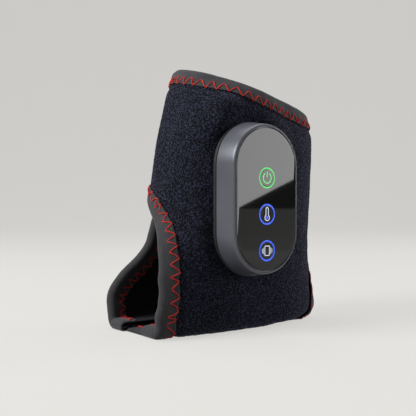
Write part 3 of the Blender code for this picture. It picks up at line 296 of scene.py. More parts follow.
def outer_rim(descent):
    """Turn of the toe opening's outer rim and, above the instep, of the flap's root."""
    descent = np.atleast_1d(np.asarray(descent, float))
    share = share_at(descent)
    top_share, top_turn = OUTER_RIM_SHARES[-1]
    run = (share - top_share) / (FLAP_ROOT_LOW_SHARE - top_share)
    between = math.radians(top_turn) * (1 - run) - FLAP_ROOT_TURN * run
    below = np.radians(through(OUTER_RIM_SHARES, share)[..., 0])
    turn = FULL_TURN - np.where(share > top_share, between, below)
    return np.where(share >= FLAP_ROOT_LOW_SHARE, root_turn(descent, -1), turn)


def run_along(places):
    steps = np.linalg.norm(np.diff(places, axis=0), axis=-1)
    return np.concatenate([[0.0], np.cumsum(steps)])


def descents_from(start, on_wall, on_corner, on_sole):
    """Descents down the wall, round the sole's corner and across the sole, with how many on each."""
    corner, sole = np.linspace(1, 2, on_corner)[1:], np.linspace(2, 3, on_sole)[1:]
    return np.concatenate([np.linspace(start, 1, on_wall), corner, sole])


def even_turns(descents, columns):
    """A grid of turns from rim to rim that lie evenly along the surface in each row."""
    start, end = inner_rim(descents), outer_rim(descents)
    dense = start[:, None] + (end - start)[:, None] * np.linspace(0, 1, 4 * columns)[None, :]
    places = outer(dense, descents[:, None])
    rows = []
    for turns, row in zip(dense, places):
        run = run_along(row)
        rows.append(np.interp(np.linspace(0, run[-1], columns), run, turns))
    return np.array(rows)


# The heel opening's oval

HEEL_MIDDLE = np.array([HEEL_OPENING_ALONG, 0.0, 0.0])
HEEL_OUTWARD = np.array([math.cos(HEEL_OPENING_TILT), 0.0, -math.sin(HEEL_OPENING_TILT)])
HEEL_UPWARD = np.array([math.sin(HEEL_OPENING_TILT), 0.0, math.cos(HEEL_OPENING_TILT)])


def heel_share(place):
    """0 at the middle of the heel opening, 1 on its oval, and large away from the heel."""
    offset = np.asarray(place) - HEEL_MIDDLE
    across = offset[1] / (HEEL_OPENING_WIDTH / 2)
    up = offset @ HEEL_UPWARD / (HEEL_OPENING_HEIGHT / 2)
    return math.hypot(across, up) if abs(offset @ HEEL_OUTWARD) < HEEL_OPENING_HEIGHT else 9.0


def heel_oval(angle):
    half_width, half_height = HEEL_OPENING_WIDTH / 2, HEEL_OPENING_HEIGHT / 2
    c, s = math.cos(angle), math.sin(angle)
    away = np.array([0, c / half_width, 0]) + HEEL_UPWARD * (s / half_height)
    place = HEEL_MIDDLE + np.array([0, c * half_width, 0]) + HEEL_UPWARD * s * half_height
    return place, unit(away)


# Mesh tools


def mapped_grid(mesh, places, uv=None):
    """A grid whose corners move to places[row][column], with UVs in metres."""
    rows, columns = places.shape[:2]
    layer = mesh.loops.layers.uv.get("metres") or mesh.loops.layers.uv.new("metres")
    made = bmesh.ops.create_grid(mesh, x_segments=columns - 1, y_segments=rows - 1, size=1.0)["verts"]
    faces = {face for vert in made for face in vert.link_faces}
    spots = {}
    for vert in made:
        column = round((vert.co.x + 1) / 2 * (columns - 1))
        row = round((vert.co.y + 1) / 2 * (rows - 1))
        spots[vert] = (row, column)
    if uv is None:
        steps = [np.linalg.norm(np.diff(places, axis=k), axis=-1).mean(axis=1 - k) for k in (1, 0)]
        u, v = [np.concatenate([[0.0], np.cumsum(step)]) for step in steps]
        uv = np.stack(np.meshgrid(u, v), axis=-1)
    for face in faces:
        for loop in face.loops:
            loop[layer].uv = uv[spots[loop.vert]]
    for vert, spot in spots.items():
        vert.co = places[spot]


def close_up(mesh, reach=1e-6):
    bmesh.ops.remove_doubles(mesh, verts=mesh.verts, dist=reach)
    edges = [edge for edge in mesh.edges if edge.is_boundary]
    if edges:
        bmesh.ops.holes_fill(mesh, edges=edges, sides=0)
    bmesh.ops.recalc_face_normals(mesh, faces=mesh.faces)


def add_object(name, data):
    """Puts a mesh, a lamp or a camera into the scene."""
    if isinstance(data, bmesh.types.BMesh):
        mesh, data = data, bpy.data.meshes.new(name)
        mesh.to_mesh(data)
        mesh.free()
    made = bpy.data.objects.new(name, data)
    bpy.context.scene.collection.objects.link(made)
    return made


def smooth_over(piece, sharp):
    """Shades a piece smooth, but for edges over an angle in degrees."""
    piece.data.shade_smooth()
    if sharp:
        piece.data.set_sharp_from_angle(angle=math.radians(sharp))


def finish_piece(name, mesh, material, body, replaces=(), sharp=40):
    piece = add_object(name, mesh)
    piece.data.materials.append(material)
    smooth_over(piece, sharp)
    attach(piece, body)
    if replaces:
        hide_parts(*replaces)
    return piece


def grid_piece(name, places, material, body, replaces=(), sharp=0, uv=None):
    """A closed piece wrapped in one grid of places."""
    mesh = bmesh.new()
    mapped_grid(mesh, places, uv)
    close_up(mesh)
    return finish_piece(name, mesh, material, body, replaces, sharp)


def stack(mesh, rings):
    """A closed tube extruded from a circle through rings of as many places each."""
    steps = len(rings[0])
    start = bmesh.ops.create_circle(mesh, segments=steps, radius=1.0, cap_ends=False)["verts"]
    start = sorted(start, key=lambda vert: math.atan2(vert.co.y, vert.co.x) % FULL_TURN)
    for vert, place in zip(start, rings[0]):
        vert.co = place
    loop, first = start, list(start)
    for ring in rings[1:]:
        edges = [mesh.edges.get((loop[k], loop[(k + 1) % steps])) for k in range(steps)]
        places = {tuple(vert.co): k for k, vert in enumerate(loop)}
        made = bmesh.ops.extrude_edge_only(mesh, edges=edges)["geom"]
        following = [None] * steps
        for vert in made:
            if isinstance(vert, bmesh.types.BMVert):
                following[places[tuple(vert.co)]] = vert
        for vert, place in zip(following, ring):
            vert.co = place
        loop = following
    mesh.faces.new(first)
    mesh.faces.new(loop)
    bmesh.ops.recalc_face_normals(mesh, faces=mesh.faces)


def pill_ring(height, width, y, steps=96):
    angles = (np.arange(steps) + 0.5) * FULL_TURN / steps
    run = (height - width) / 2
    x = CASE_X + width / 2 * np.cos(angles)
    z = CASE_Z + width / 2 * np.sin(angles) + run * np.sign(np.sin(angles))
    return np.stack([x, np.full(steps, y), z], axis=-1)


def disc_ring(x, z, radius, y, steps=48):
    angles = np.arange(steps) * FULL_TURN / steps
    return np.stack([x + radius * np.cos(angles), np.full(steps, y), z + radius * np.sin(angles)], axis=-1)


def rounded_profile(corners, steps=4):
    """A line through corners of (a, b, radius), with each corner rounded."""
    line = []
    for k, (a, b, radius) in enumerate(corners):
        here = np.array([a, b])
        if not radius or k in (0, len(corners) - 1):
            line.append(here)
            continue
        before, after = np.array(corners[k - 1][:2]), np.array(corners[k + 1][:2])
        start = here + (before - here) / np.linalg.norm(before - here) * radius
        end = here + (after - here) / np.linalg.norm(after - here) * radius
        for t in np.linspace(0, 1, steps + 1):
            line.append((1 - t) ** 2 * start + 2 * t * (1 - t) * here + t**2 * end)
    return line


def cut_away(piece, solids, sharp):
    """Cuts solids out of a piece for good, and removes them."""
    for solid in solids:
        modifier = piece.modifiers.new("cut", "BOOLEAN")
        modifier.object = solid
        modifier.operation = "DIFFERENCE"
        modifier.solver = "EXACT"
    settle(piece)
    smooth_over(piece, sharp)
    for solid in solids:
        bpy.data.objects.remove(solid, do_unlink=True)


def settle(piece):
    """Applies a piece's modifiers to its mesh."""
    graph = bpy.context.evaluated_depsgraph_get()
    graph.update()
    data = bpy.data.meshes.new_from_object(piece.evaluated_get(graph))
    piece.modifiers.clear()
    piece.data = data


def cutter(rings):
    mesh = bmesh.new()
    stack(mesh, rings)
    return add_object("cutter", mesh)


def thicken(piece, thickness):
    modifier = piece.modifiers.new("thickness", "SOLIDIFY")
    modifier.thickness = thickness
    modifier.offset = -1.0
    settle(piece)


# Edges that the tape is folded round


class RimEdge:
    """An edge of a surface along a path of turns and descents."""

    def __init__(self, surface, turn, descent, inside, count):
        places = surface(turn, descent, np.zeros(len(turn)))
        run = run_along(places)
        self.run = np.linspace(0, run[-1], count)
        self.turn = np.interp(self.run, run, turn)
        self.descent = np.interp(self.run, run, descent)
        self.surface = surface
        self.here = surface(self.turn, self.descent, np.zeros(count))
        tangent = unit(np.gradient(self.here, axis=0))
        small_turn, small = math.radians(0.5), 0.01
        zero = np.zeros(count)
        by_turn = (surface(self.turn + small_turn, self.descent, zero) - self.here) / small_turn
        by_descent = (surface(self.turn, self.descent + small, zero) - self.here) / small
        self.normal = unit(np.cross(by_turn, by_descent))
        inward = unit(np.cross(self.normal, tangent))
        inside_places = surface(*[np.interp(self.run, run, values) for values in inside], zero)
        facing = np.sign(np.sum(inward * (inside_places - self.here), axis=-1))
        self.inward = inward * facing[:, None]
        jacobian = np.stack([by_turn, by_descent], axis=-1)
        square = np.einsum("nij,nik->njk", jacobian, jacobian)
        right = np.einsum("nij,ni->nj", jacobian, self.inward)
        self.steps = np.linalg.solve(square, right[..., None])[..., 0]

    def follow(self, run, values):
        if values.ndim == 1:
            return np.interp(run, self.run, values)
        return np.stack([np.interp(run, self.run, values[:, k]) for k in range(values.shape[1])], axis=-1)

    def at(self, run, distance, height):
        """Places at a run along the edge, a distance in from it and a height over the surface."""
        run, distance, height = np.broadcast_arrays(run, distance, height)
        steps = self.follow(run, self.steps)
        turn = self.follow(run, self.turn) + steps[..., 0] * distance
        descent = self.follow(run, self.descent) + steps[..., 1] * distance
        far = self.surface(turn, np.maximum(descent, 0.0), -height)
        near = self.follow(run, self.here) + self.follow(run, self.inward) * distance[..., None]
        near = near + unit(self.follow(run, self.normal)) * height[..., None]
        return np.where((distance > 0)[..., None], far, near)


class HeelEdge:
    """The heel opening's edge. Places off the edge are found by casting rays on to the wrap."""

    def __init__(self, count):
        columns = HEEL_COLUMNS
        descents = descents_from(0.45, 46, 11, 11)
        turns = even_turns(descents, columns)
        turns = np.concatenate([turns, np.repeat(turns[-1:], 2, axis=0)])
        descents = np.concatenate([descents, [3.5, 4.0]])
        self.points = outer(turns, descents[:, None]).reshape(-1, 3)
        self.normals = outer_normal(turns, np.repeat(descents[:, None], columns, axis=1)).reshape(-1, 3)
        faces = []
        for row in range(len(descents) - 1):
            for a in range(row * columns, (row + 1) * columns - 1):
                faces += [(a, a + columns, a + columns + 1), (a, a + columns + 1, a + 1)]
        self.faces = faces
        self.tree = BVHTree.FromPolygons([Vector(p) for p in self.points], faces)
        angles = np.linspace(0, FULL_TURN, count)
        places = np.array([self.hit(heel_oval(angle)[0])[0] for angle in angles])
        run = run_along(places)
        self.run = np.linspace(0, run[-1], count)
        self.angles = np.interp(self.run, run, angles)

    def hit(self, place):
        start = Vector(place + HEEL_OUTWARD * HEEL_OPENING_ALONG)
        found, _, index, _ = self.tree.ray_cast(start, Vector(-HEEL_OUTWARD))
        corners = self.points[list(self.faces[index])]
        found = np.array(found)
        weights = 1 / (np.linalg.norm(corners - found, axis=1) + 1e-7)
        normal = (self.normals[list(self.faces[index])] * weights[:, None]).sum(axis=0)
        return found, unit(normal)

    def at(self, run, distance, height):
        run, distance, height = np.broadcast_arrays(run, distance, height)
        places = np.zeros((*run.shape, 3))
        for spot in np.ndindex(run.shape):
            angle = float(np.interp(run[spot], self.run, self.angles))
            place, away = heel_oval(angle)
            here, normal = self.hit(place)
            beyond, _ = self.hit(place + away * BINDING_THICKNESS)
            inward = unit(beyond - here)
            if distance[spot] <= 0:
                places[spot] = here + inward * distance[spot] + normal * height[spot]
            else:
                slope = np.linalg.norm(beyond - here) / BINDING_THICKNESS
                found, tilt = self.hit(place + away * (distance[spot] / slope))
                places[spot] = found + tilt * height[spot]
        return places


def top_edge():
    turns = even_turns(np.array([TOP_EDGE]), 200)[0]
    turns[-1] -= BINDING_END_TURN
    descents = np.full(len(turns), TOP_EDGE)
    return RimEdge(wall, turns, descents, (turns, descents + 0.1), EDGE_STEPS)


def toe_edge(rim, highest, side):
    descents = descents_from(highest, 300, 40, 40)
    turns = rim(descents)
    return RimEdge(wall, turns, descents, (turns + side * math.radians(12), descents), TOE_EDGE_STEPS)


def outer_toe_edge():
    return toe_edge(outer_rim, descent_at(OUTER_BINDING_TOP_SHARE), -1)


def inner_toe_edge():
    return toe_edge(inner_rim, TOP_EDGE + (BINDING_LEG + BINDING_NOSE) / WRAP_HEIGHT, 1)


# The flap


def flap_surface(turn, descent, depth):
    raised = (FLAP_LIFT + SHELL_THICKNESS) * smooth_step((turn - FLAP_ROOT_TURN) / FLAP_LIFT_TURN)
    return wall(turn, descent, depth - raised)


def flap_reach(across):
    """How far the flap's rounded end reaches, as a share of its length, at a share of its height."""
    length = run_along(outer(np.linspace(FLAP_ROOT_TURN, FLAP_END_TURN, 60), FLAP_MIDDLE))[-1]
    high, low = outer(ROOT_TURN, TOP_EDGE), outer(ROOT_TURN, descent_at(FLAP_ROOT_LOW_SHARE))
    height = np.linalg.norm(high - low)
    outside = np.maximum(0.0, np.abs(across - 0.5) * height - (height / 2 - FLAP_CORNER))
    return 1 - (FLAP_CORNER - np.sqrt(FLAP_CORNER**2 - outside**2)) / length


def flap_spot(along, across):
    """Turn and descent at shares of the flap's length and height."""
    span = WRAP_HEIGHT - SOLE_CORNER
    top = TOP_EDGE + FLAP_END_DROP / span * along**2
    low = descent_at(FLAP_ROOT_LOW_SHARE) - FLAP_LOW_RISE / span * along
    descent = top + (low - top) * across
    root = root_turn(descent.ravel(), 1).reshape(descent.shape) - FULL_TURN
    return root + (FLAP_END_TURN - root) * along, descent


def flap_edge():
    ends = np.linspace(0, math.pi, 160)
    across = (1 - np.cos(ends)) / 2
    reach = flap_reach(across)
    run = np.linspace(0, 1, 100)
    along = np.concatenate([run * reach[0], reach[1:-1], (run * reach[-1])[::-1]])
    level = np.concatenate([np.zeros(100), across[1:-1], np.ones(100)])
    turn, descent = flap_spot(along, level)
    start = turn[0] + BINDING_END_TURN
    turn = np.maximum(turn, start)
    middle = (np.full(len(turn), math.radians(80)), np.full(len(turn), descent_at(0.75)))
    return RimEdge(flap_surface, turn, descent, middle, EDGE_STEPS)


# Colours and finishes


class Net:
    """A node tree, with short ways to add nodes to it."""

    def __init__(self, tree):
        self.nodes, self.links = tree.nodes, tree.links

    def fill(self, node, values):
        """Gives a node's inputs their values: numbers, colours or the outputs of other nodes."""
        for label, value in values.items():
            if isinstance(value, bpy.types.NodeSocket):
                self.links.new(value, node.inputs[label])
            else:
                node.inputs[label].default_value = value

    def place(self):
        return self.nodes.new("ShaderNodeTexCoord").outputs["Object"]

    def maths(self, operation, *values):
        node = self.nodes.new("ShaderNodeMath")
        node.operation = operation
        self.fill(node, dict(enumerate(values)))
        return node.outputs[0]

    def scaled_sum(self, value, factor, other):
        return self.maths("MULTIPLY_ADD", value, factor, other)

    def clamp(self, value):
        node = self.nodes.new("ShaderNodeClamp")
        self.fill(node, {"Value": value})
        return node.outputs[0]

    def speckle(self, scale, detail=2.0, rough=0.5):
        node = self.nodes.new("ShaderNodeTexNoise")
        self.fill(node, {"Detail": detail, "Roughness": rough, "Scale": scale, "Vector": self.place()})
        return node.outputs["Fac"]

    def two_tones(self, mask, dark, light):
        node = self.nodes.new("ShaderNodeMix")
        node.data_type = "RGBA"
        self.fill(node, {"A": (*dark, 1), "B": (*light, 1), "Factor": mask})
        return node.outputs["Result"]

    def bump(self, height, strength, distance):
        node = self.nodes.new("ShaderNodeBump")
        self.fill(node, {"Strength": strength, "Distance": distance, "Height": height})
        return node.outputs["Normal"]

    def group(self, tree, values=None):
        node = self.nodes.new("ShaderNodeGroup")
        node.node_tree = tree
        self.fill(node, values or {})
        return node.outputs


def make_group(name, inputs, outputs, build):
    """A shader node group, made once. build gives what goes to each of its outputs."""
    found = bpy.data.node_groups.get(name)
    if found:
        return found
    group = bpy.data.node_groups.new(name, "ShaderNodeTree")
    for label, value in inputs.items():
        socket = group.interface.new_socket(name=label, in_out="INPUT", socket_type="NodeSocketFloat")
        socket.default_value = value
    for label in outputs:
        group.interface.new_socket(name=label, in_out="OUTPUT", socket_type="NodeSocketFloat")
    start, end = group.nodes.new("NodeGroupInput"), group.nodes.new("NodeGroupOutput")
    net = Net(group)
    net.fill(end, build(net, start.outputs))
    return group


def build_nap(net, given):
    """Brushed loops: a fine speckle over wide soft blotches."""
    fine = net.speckle(given["Loops per metre"], 2.0, 0.7)
    coarse = net.speckle(given["Tufts per metre"], 1.0)
    fleck = net.maths("MULTIPLY", net.maths("SUBTRACT", fine, 0.5), 7.0)
    fleck = net.scaled_sum(coarse, 0.3, fleck)
    fleck = net.scaled_sum(net.speckle(70.0), 0.1, fleck)
    return {"Speckle": net.clamp(fleck), "Height": net.scaled_sum(coarse, 0.8, fine)}


def build_knit(net, given):
    """Fine knitted rows on a piece's own UV map, which is in metres."""
    uv = net.nodes.new("ShaderNodeUVMap")
    uv.uv_map = "metres"
    split = net.nodes.new("ShaderNodeSeparateXYZ")
    net.fill(split, {0: uv.outputs[0]})
    rows = []
    for socket in ("X", "Y"):
        phase = net.maths("MULTIPLY", split.outputs[socket], given["Rows per metre"])
        rows.append(net.maths("SINE", net.maths("MULTIPLY", phase, FULL_TURN)))
    weave = net.maths("MULTIPLY", net.maths("MULTIPLY", *rows), 0.5)
    fuzz = net.speckle(1600.0, 2.0, 0.6)
    depth = net.scaled_sum(net.speckle(160.0), 0.7, net.scaled_sum(weave, 0.25, fuzz))
    return {
        "Tint": net.clamp(net.maths("SUBTRACT", depth, 0.35)),
        "Height": net.scaled_sum(fuzz, 1.4, weave),
    }


def build_grain(net, given):
    """Fine grain of moulded plastic, with faint wear."""
    return {"Wear": net.speckle(45.0, 3.0), "Height": net.speckle(given["Grains per metre"])}


def nap_group():
    inputs = {"Loops per metre": 980.0, "Tufts per metre": 420.0}
    return make_group("brushed_nap", inputs, ("Speckle", "Height"), build_nap)


def knit_group():
    return make_group("fine_knit", {"Rows per metre": 1400.0}, ("Tint", "Height"), build_knit)


def grain_group():
    return make_group("moulded_grain", {"Grains per metre": 2400.0}, ("Wear", "Height"), build_grain)


def material_named(name, build):
    """A material, made once. build gives what goes to each input of its shader."""
    made = bpy.data.materials.get(name)
    if made:
        return made
    made = bpy.data.materials.new(name)
    made.use_nodes = True
    net = Net(made.node_tree)
    net.fill(net.nodes["Principled BSDF"], build(net))
    return made


def shade(colour, factor):
    return tuple(min(1.0, channel * factor) for channel in colour)


def napped_cloth(name, colour, light, sheen):
    def build(net):
        nap = net.group(nap_group())
        return {
            "Base Color": net.two_tones(nap["Speckle"], shade(colour, 0.35), light),
            "Roughness": 0.95,
            "Specular IOR Level": 0.15,
            "Sheen Weight": net.scaled_sum(nap["Speckle"], sheen * 1.6, sheen * 0.1),
            "Sheen Roughness": 0.4,
            "Sheen Tint": (0.55, 0.56, 0.9, 1),
            "Normal": net.bump(nap["Height"], 1.0, 0.6 * MM),
        }

    return material_named(name, build)


def knitted_cloth(name, colour, rows=1400.0, sheen=0.25, bump=0.5):
    def build(net):
        knit = net.group(knit_group(), {"Rows per metre": rows})
        return {
            "Base Color": net.two_tones(knit["Tint"], shade(colour, 0.55), shade(colour, 1.5)),
            "Roughness": 0.85,
            "Specular IOR Level": 0.2,
            "Sheen Weight": sheen,
            "Sheen Roughness": 0.5,
            "Sheen Tint": (0.85, 0.85, 0.95, 1),
            "Normal": net.bump(knit["Height"], bump, 0.15 * MM),
        }

    return material_named(name, build)


def moulded(name, colour, roughness, metallic=0.0, bump=0.1, grains=2400.0, specular=0.5):
    def build(net):
        grain = net.group(grain_group(), {"Grains per metre": grains})
        inputs = {
            "Base Color": net.two_tones(grain["Wear"], shade(colour, 0.92), shade(colour, 1.08)),
            "Roughness": net.scaled_sum(grain["Wear"], roughness * 0.3, roughness * 0.85),
            "Metallic": metallic,
            "Specular IOR Level": specular,
        }
        if bump:
            inputs["Normal"] = net.bump(grain["Height"], bump, 0.05 * MM)
        return inputs

    return material_named(name, build)


def lit(name, colour):
    def build(net):
        tones = net.two_tones(net.group(grain_group())["Wear"], shade(colour, 0.9), colour)
        glow = sizes().glow
        return {"Base Color": tones, "Emission Color": tones, "Emission Strength": glow, "Roughness": 0.3}

    return material_named(name, build)


def sizes():
    return bpy.context.scene.wrap_sizes


def colours():
    return bpy.context.scene.wrap_colours


def fleece_material():
    return napped_cloth("brushed_fleece", colours().fleece, colours().fleece_fleck, 0.32)


def tape_material():
    return knitted_cloth("binding_tape", colours().tape)


def thread_material():
    return knitted_cloth("red_thread", colours().thread, 2600.0, 0.1, 0.6)


def steel_material():
    return moulded("plated_steel", (0.58, 0.58, 0.6), 0.28, metallic=1.0, bump=0.05)


def case_material():
    return moulded("satin_case", colours().case, 0.36, metallic=0.25, bump=0.06, grains=5200.0)


def black_material():
    return moulded("black_plastic", colours().base, 0.5, bump=0.25, grains=3800.0)


def panel_material():
    return moulded("gloss_panel", colours().panel, 0.03, bump=0.0, specular=0.4)


def green_light():
    return lit("green_light", colours().green)


def blue_light():
    return lit("blue_light", colours().blue)


# Pieces


def fleece_rows(spacing):
    on_wall = (WRAP_HEIGHT - SOLE_CORNER) * (1 - TOP_EDGE)
    on_corner = SOLE_CORNER * math.pi / 2
    on_sole = ANKLE_WIDTH / 2 - GUSSET_WIDTH / 2
    return descents_from(TOP_EDGE, *[max(3, int(run / spacing)) for run in (on_wall, on_corner, on_sole)])


def tree_of(places):
    tree = KDTree(len(places))
    for k, place in enumerate(places):
        tree.insert(place, k)
    tree.balance()
    return tree


def waves(place, per_metre, height):
    """Gentle uneven waves, so many to the metre."""
    return noise.noise(place * per_metre) * height


def clear_of_binding(tree, place):
    """0 under the legs of a binding and 1 well away from them."""
    gap, run = 0.2 * MM, 6 * MM
    return float(smooth_step((tree.find(place)[2] - BINDING_LEG - gap) / run))


def edge_tree():
    """Looks up how far a place is from the nearest bound edge of the wrap."""
    places = [edge.at(edge.run, 0.0, 0.0) for edge in (top_edge(), outer_toe_edge(), inner_toe_edge())]
    descents = np.linspace(TOP_EDGE, descent_at(OUTER_BINDING_TOP_SHARE), 120)
    places.append(outer(outer_rim(descents), descents))
    heel = HeelEdge(160)
    places.append(heel.at(heel.run, 0.0, 0.0))
    return tree_of(np.concatenate(places))


def pierce_heel(mesh):
    """Opens the heel: corners inside the oval go, and the edge left is drawn on to it."""
    inside = [vert for vert in mesh.verts if heel_share(vert.co) < 1.0]
    bmesh.ops.delete(mesh, geom=inside, context="VERTS")
    for vert in mesh.verts:
        share = heel_share(vert.co)
        if vert.is_boundary and 1.0 <= share < 1.25 and vert.co.x > HEEL_RIM_X - GUSSET_WIDTH / 2:
            offset = np.array(vert.co) - HEEL_MIDDLE
            moved = np.array([0, offset[1], 0]) + HEEL_UPWARD * (offset @ HEEL_UPWARD)
            vert.co = Vector(np.array(vert.co) - moved * (1 - 1 / share))


def fleece_lift(places, tree):
    """How far the fleece stands over the wall: full between the bindings, pinched flat under them."""
    lift = np.zeros(places.shape[:2])
    beyond = beyond_pill(places[..., 0], places[..., 2], CASE_HEIGHT, CASE_WIDTH)
    pressed_margin, pressed_run = 1.0 * MM, 5 * MM
    under_case = (1 - smooth_step((beyond - pressed_margin) / pressed_run)) * (places[..., 1] < 0)
    for spot in np.ndindex(lift.shape):
        place = Vector(places[spot])
        free = clear_of_binding(tree, place)
        wave = waves(place, 38, 0.55 * MM) + waves(place, 110, 0.22 * MM)
        nap = waves(place, NAP_WAVES, sizes().nap_height)
        lift[spot] = (sizes().fleece_swell + wave) * free * (1 - under_case[spot]) + nap * max(free, 0.2)
    return lift


def wrap_shell(name, places, material, node, thickness):
    """A layer of the wrap's wall, with the heel open and its faces turned outwards."""
    mesh = bmesh.new()
    mapped_grid(mesh, places)
    pierce_heel(mesh)
    bmesh.ops.recalc_face_normals(mesh, faces=mesh.faces)
    middle = sum((face.calc_center_median() for face in mesh.faces), Vector()) / len(mesh.faces)
    outward = sum((face.calc_center_median() - middle).dot(face.normal) for face in mesh.faces)
    if outward < 0:
        bmesh.ops.reverse_faces(mesh, faces=mesh.faces)
    piece = finish_piece(name, mesh, material, "wrap", [node], sharp=0)
    thicken(piece, thickness)
    return piece


def build_fleece():
    longest_way_round, smoothing_rounds = 0.30, 4
    descents = fleece_rows(sizes().fleece_spacing)
    turns = even_turns(descents, int(longest_way_round / sizes().fleece_spacing))
    rows = np.repeat(descents[:, None], turns.shape[1], axis=1)
    lift = fleece_lift(outer(turns, rows), edge_tree())
    normals = outer_normal(turns, rows)
    for _ in range(smoothing_rounds):
        normals[:, 1:-1] = unit(normals[:, :-2] + 2 * normals[:, 1:-1] + normals[:, 2:])
    places = outer(turns, rows) + normals * lift[..., None]
    piece = wrap_shell("fleece_shell", places, fleece_material(), "wrap_body", SHELL_THICKNESS)


def build_lining():
    spacing, columns = 2.6 * MM, 110
    descents = fleece_rows(spacing)
    turns = even_turns(descents, columns)
    places = wall(turns, descents[:, None], np.full(turns.shape, LINING_DEPTH))
    cloth = knitted_cloth("lining_knit", colours().lining, 900.0, 0.05, 0.6)
    wrap_shell("knit_lining", places, cloth, "inner_lining", LINING_THICKNESS)


def build_gusset():
    """The ribbed elastic strip of the sole, hemmed at the toe end."""
    half = GUSSET_WIDTH / 2 - GUSSET_CLEARANCE
    toe_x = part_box("sole_gusset")[0][0]
    pitch = sizes().rib_pitch
    across = np.linspace(-half, half, 13)
    oval = np.sqrt(1 - (across / (HEEL_OPENING_WIDTH / 2)) ** 2)
    end_x = HEEL_OPENING_ALONG - (HEEL_OPENING_HEIGHT / 2 / math.sin(HEEL_OPENING_TILT)) * oval
    share = np.linspace(0, 1, 1000)
    seam, hem_end, hem_fade, hem_height = 8.6 * MM, 8.2 * MM, 0.8 * MM, 0.5 * MM
    groove_width, groove_depth, nose_run = 0.7 * MM, 0.7 * MM, 1.2 * MM
    x = toe_x + (end_x[None, :] - toe_x) * share[:, None]
    from_toe = x - toe_x
    hem = 1 - smooth_step((from_toe - hem_end) / hem_fade)
    groove = np.exp(-(((from_toe - seam) / groove_width) ** 2))
    nose = smooth_step(from_toe / nose_run)
    rib = np.abs(np.sin(from_toe * math.pi / pitch)) ** 0.8 * sizes().rib_depth
    side = 1 - 0.35 * (np.abs(across) / half)[None, :] ** 6
    lift = sole_lift(x) * smooth_step((x - HEEL_RIM_X + HEEL_RISE_START) / HEEL_RISE_RUN)
    rib_base, floor_gap = GUSSET_THICKNESS - 0.2 * MM, 0.02 * MM
    thick = (rib_base + hem_height * hem) * side - groove * groove_depth + rib
    middle = lift + GUSSET_THICKNESS / 2
    top = middle + (lift + thick - middle) * nose
    under = middle + (lift + floor_gap - rib * 0.5 + sizes().rib_depth * 0.5 - middle) * nose
    y = np.repeat(across[None, :], len(share), axis=0)
    upper, lower = np.stack([x, y, top], axis=-1), np.stack([x, y, under], axis=-1)
    places = np.concatenate([upper, lower[::-1], upper[:1]])
    cloth = knitted_cloth("ribbed_elastic", colours().elastic, 2200.0, 0.2, 0.4)
    grid_piece("gusset_elastic", places, cloth, "wrap", ["sole_gusset"])
    run = np.linspace(-half * 0.94, half * 0.94, 90)
    sway, stitch = 0.55 * MM, 2.4 * MM
    wave = sway * (2 * np.abs((run / stitch) % 1 - 0.5) * 2 - 1)
    line = np.stack([toe_x + seam + wave, run, np.full(90, GUSSET_THICKNESS + 0.35 * MM)], axis=-1)
    sew("gusset_hem_stitching", [(line, np.tile([0.0, 0.0, 1.0], (90, 1)))], "wrap")


# Binding tape and its stitching


def tape_profile(thickness, ease=0.0):
    """The tape's section, folded round an edge: distances in from the edge and heights over the face."""
    top = BINDING_OUTER_GAP + BINDING_THICKNESS + ease
    low = -thickness - BINDING_INNER_GAP - BINDING_THICKNESS - ease
    middle, half = (top + low) / 2, (top - low) / 2
    leg = BINDING_LEG
    # Places along the leg, as shares of its width, and how far the tape sinks there
    legs = np.array([1.0, 0.985, 0.93, 0.86, 0.78, 0.70, 0.61, 0.52, 0.43, 0.34, 0.25, 0.16]) * leg
    sink = np.array([0.45, 0.16, 0.08, 0.14, 0.2, 0.16, 0.06, 0.0, -0.05, -0.06, -0.04, 0.0]) * MM
    fold = 0.9 * MM
    reach = BINDING_NOSE + ease + fold
    angles = np.radians(np.linspace(90, -90, 15))
    outside = [(d, top - s) for d, s in zip(legs, sink)]
    outside += [(fold - reach * math.cos(a), middle + half * math.sin(a)) for a in angles]
    outside += [(d, low + s) for d, s in zip(legs[::-1], sink[::-1])]
    inside_reach = BINDING_NOSE_GAP + ease
    inner_top, inner_low = top - BINDING_THICKNESS, low + BINDING_THICKNESS
    inside = [(leg * share, inner_low) for share in (0.99, 0.5, 0.0)]
    inside += [(-inside_reach, middle - half / 3), (-inside_reach, middle + half / 3)]
    inside += [(leg * share, inner_top) for share in (0.0, 0.5, 0.99)]
    points = np.array(outside + inside)
    return points[:, 0], points[:, 1], len(outside), middle, half


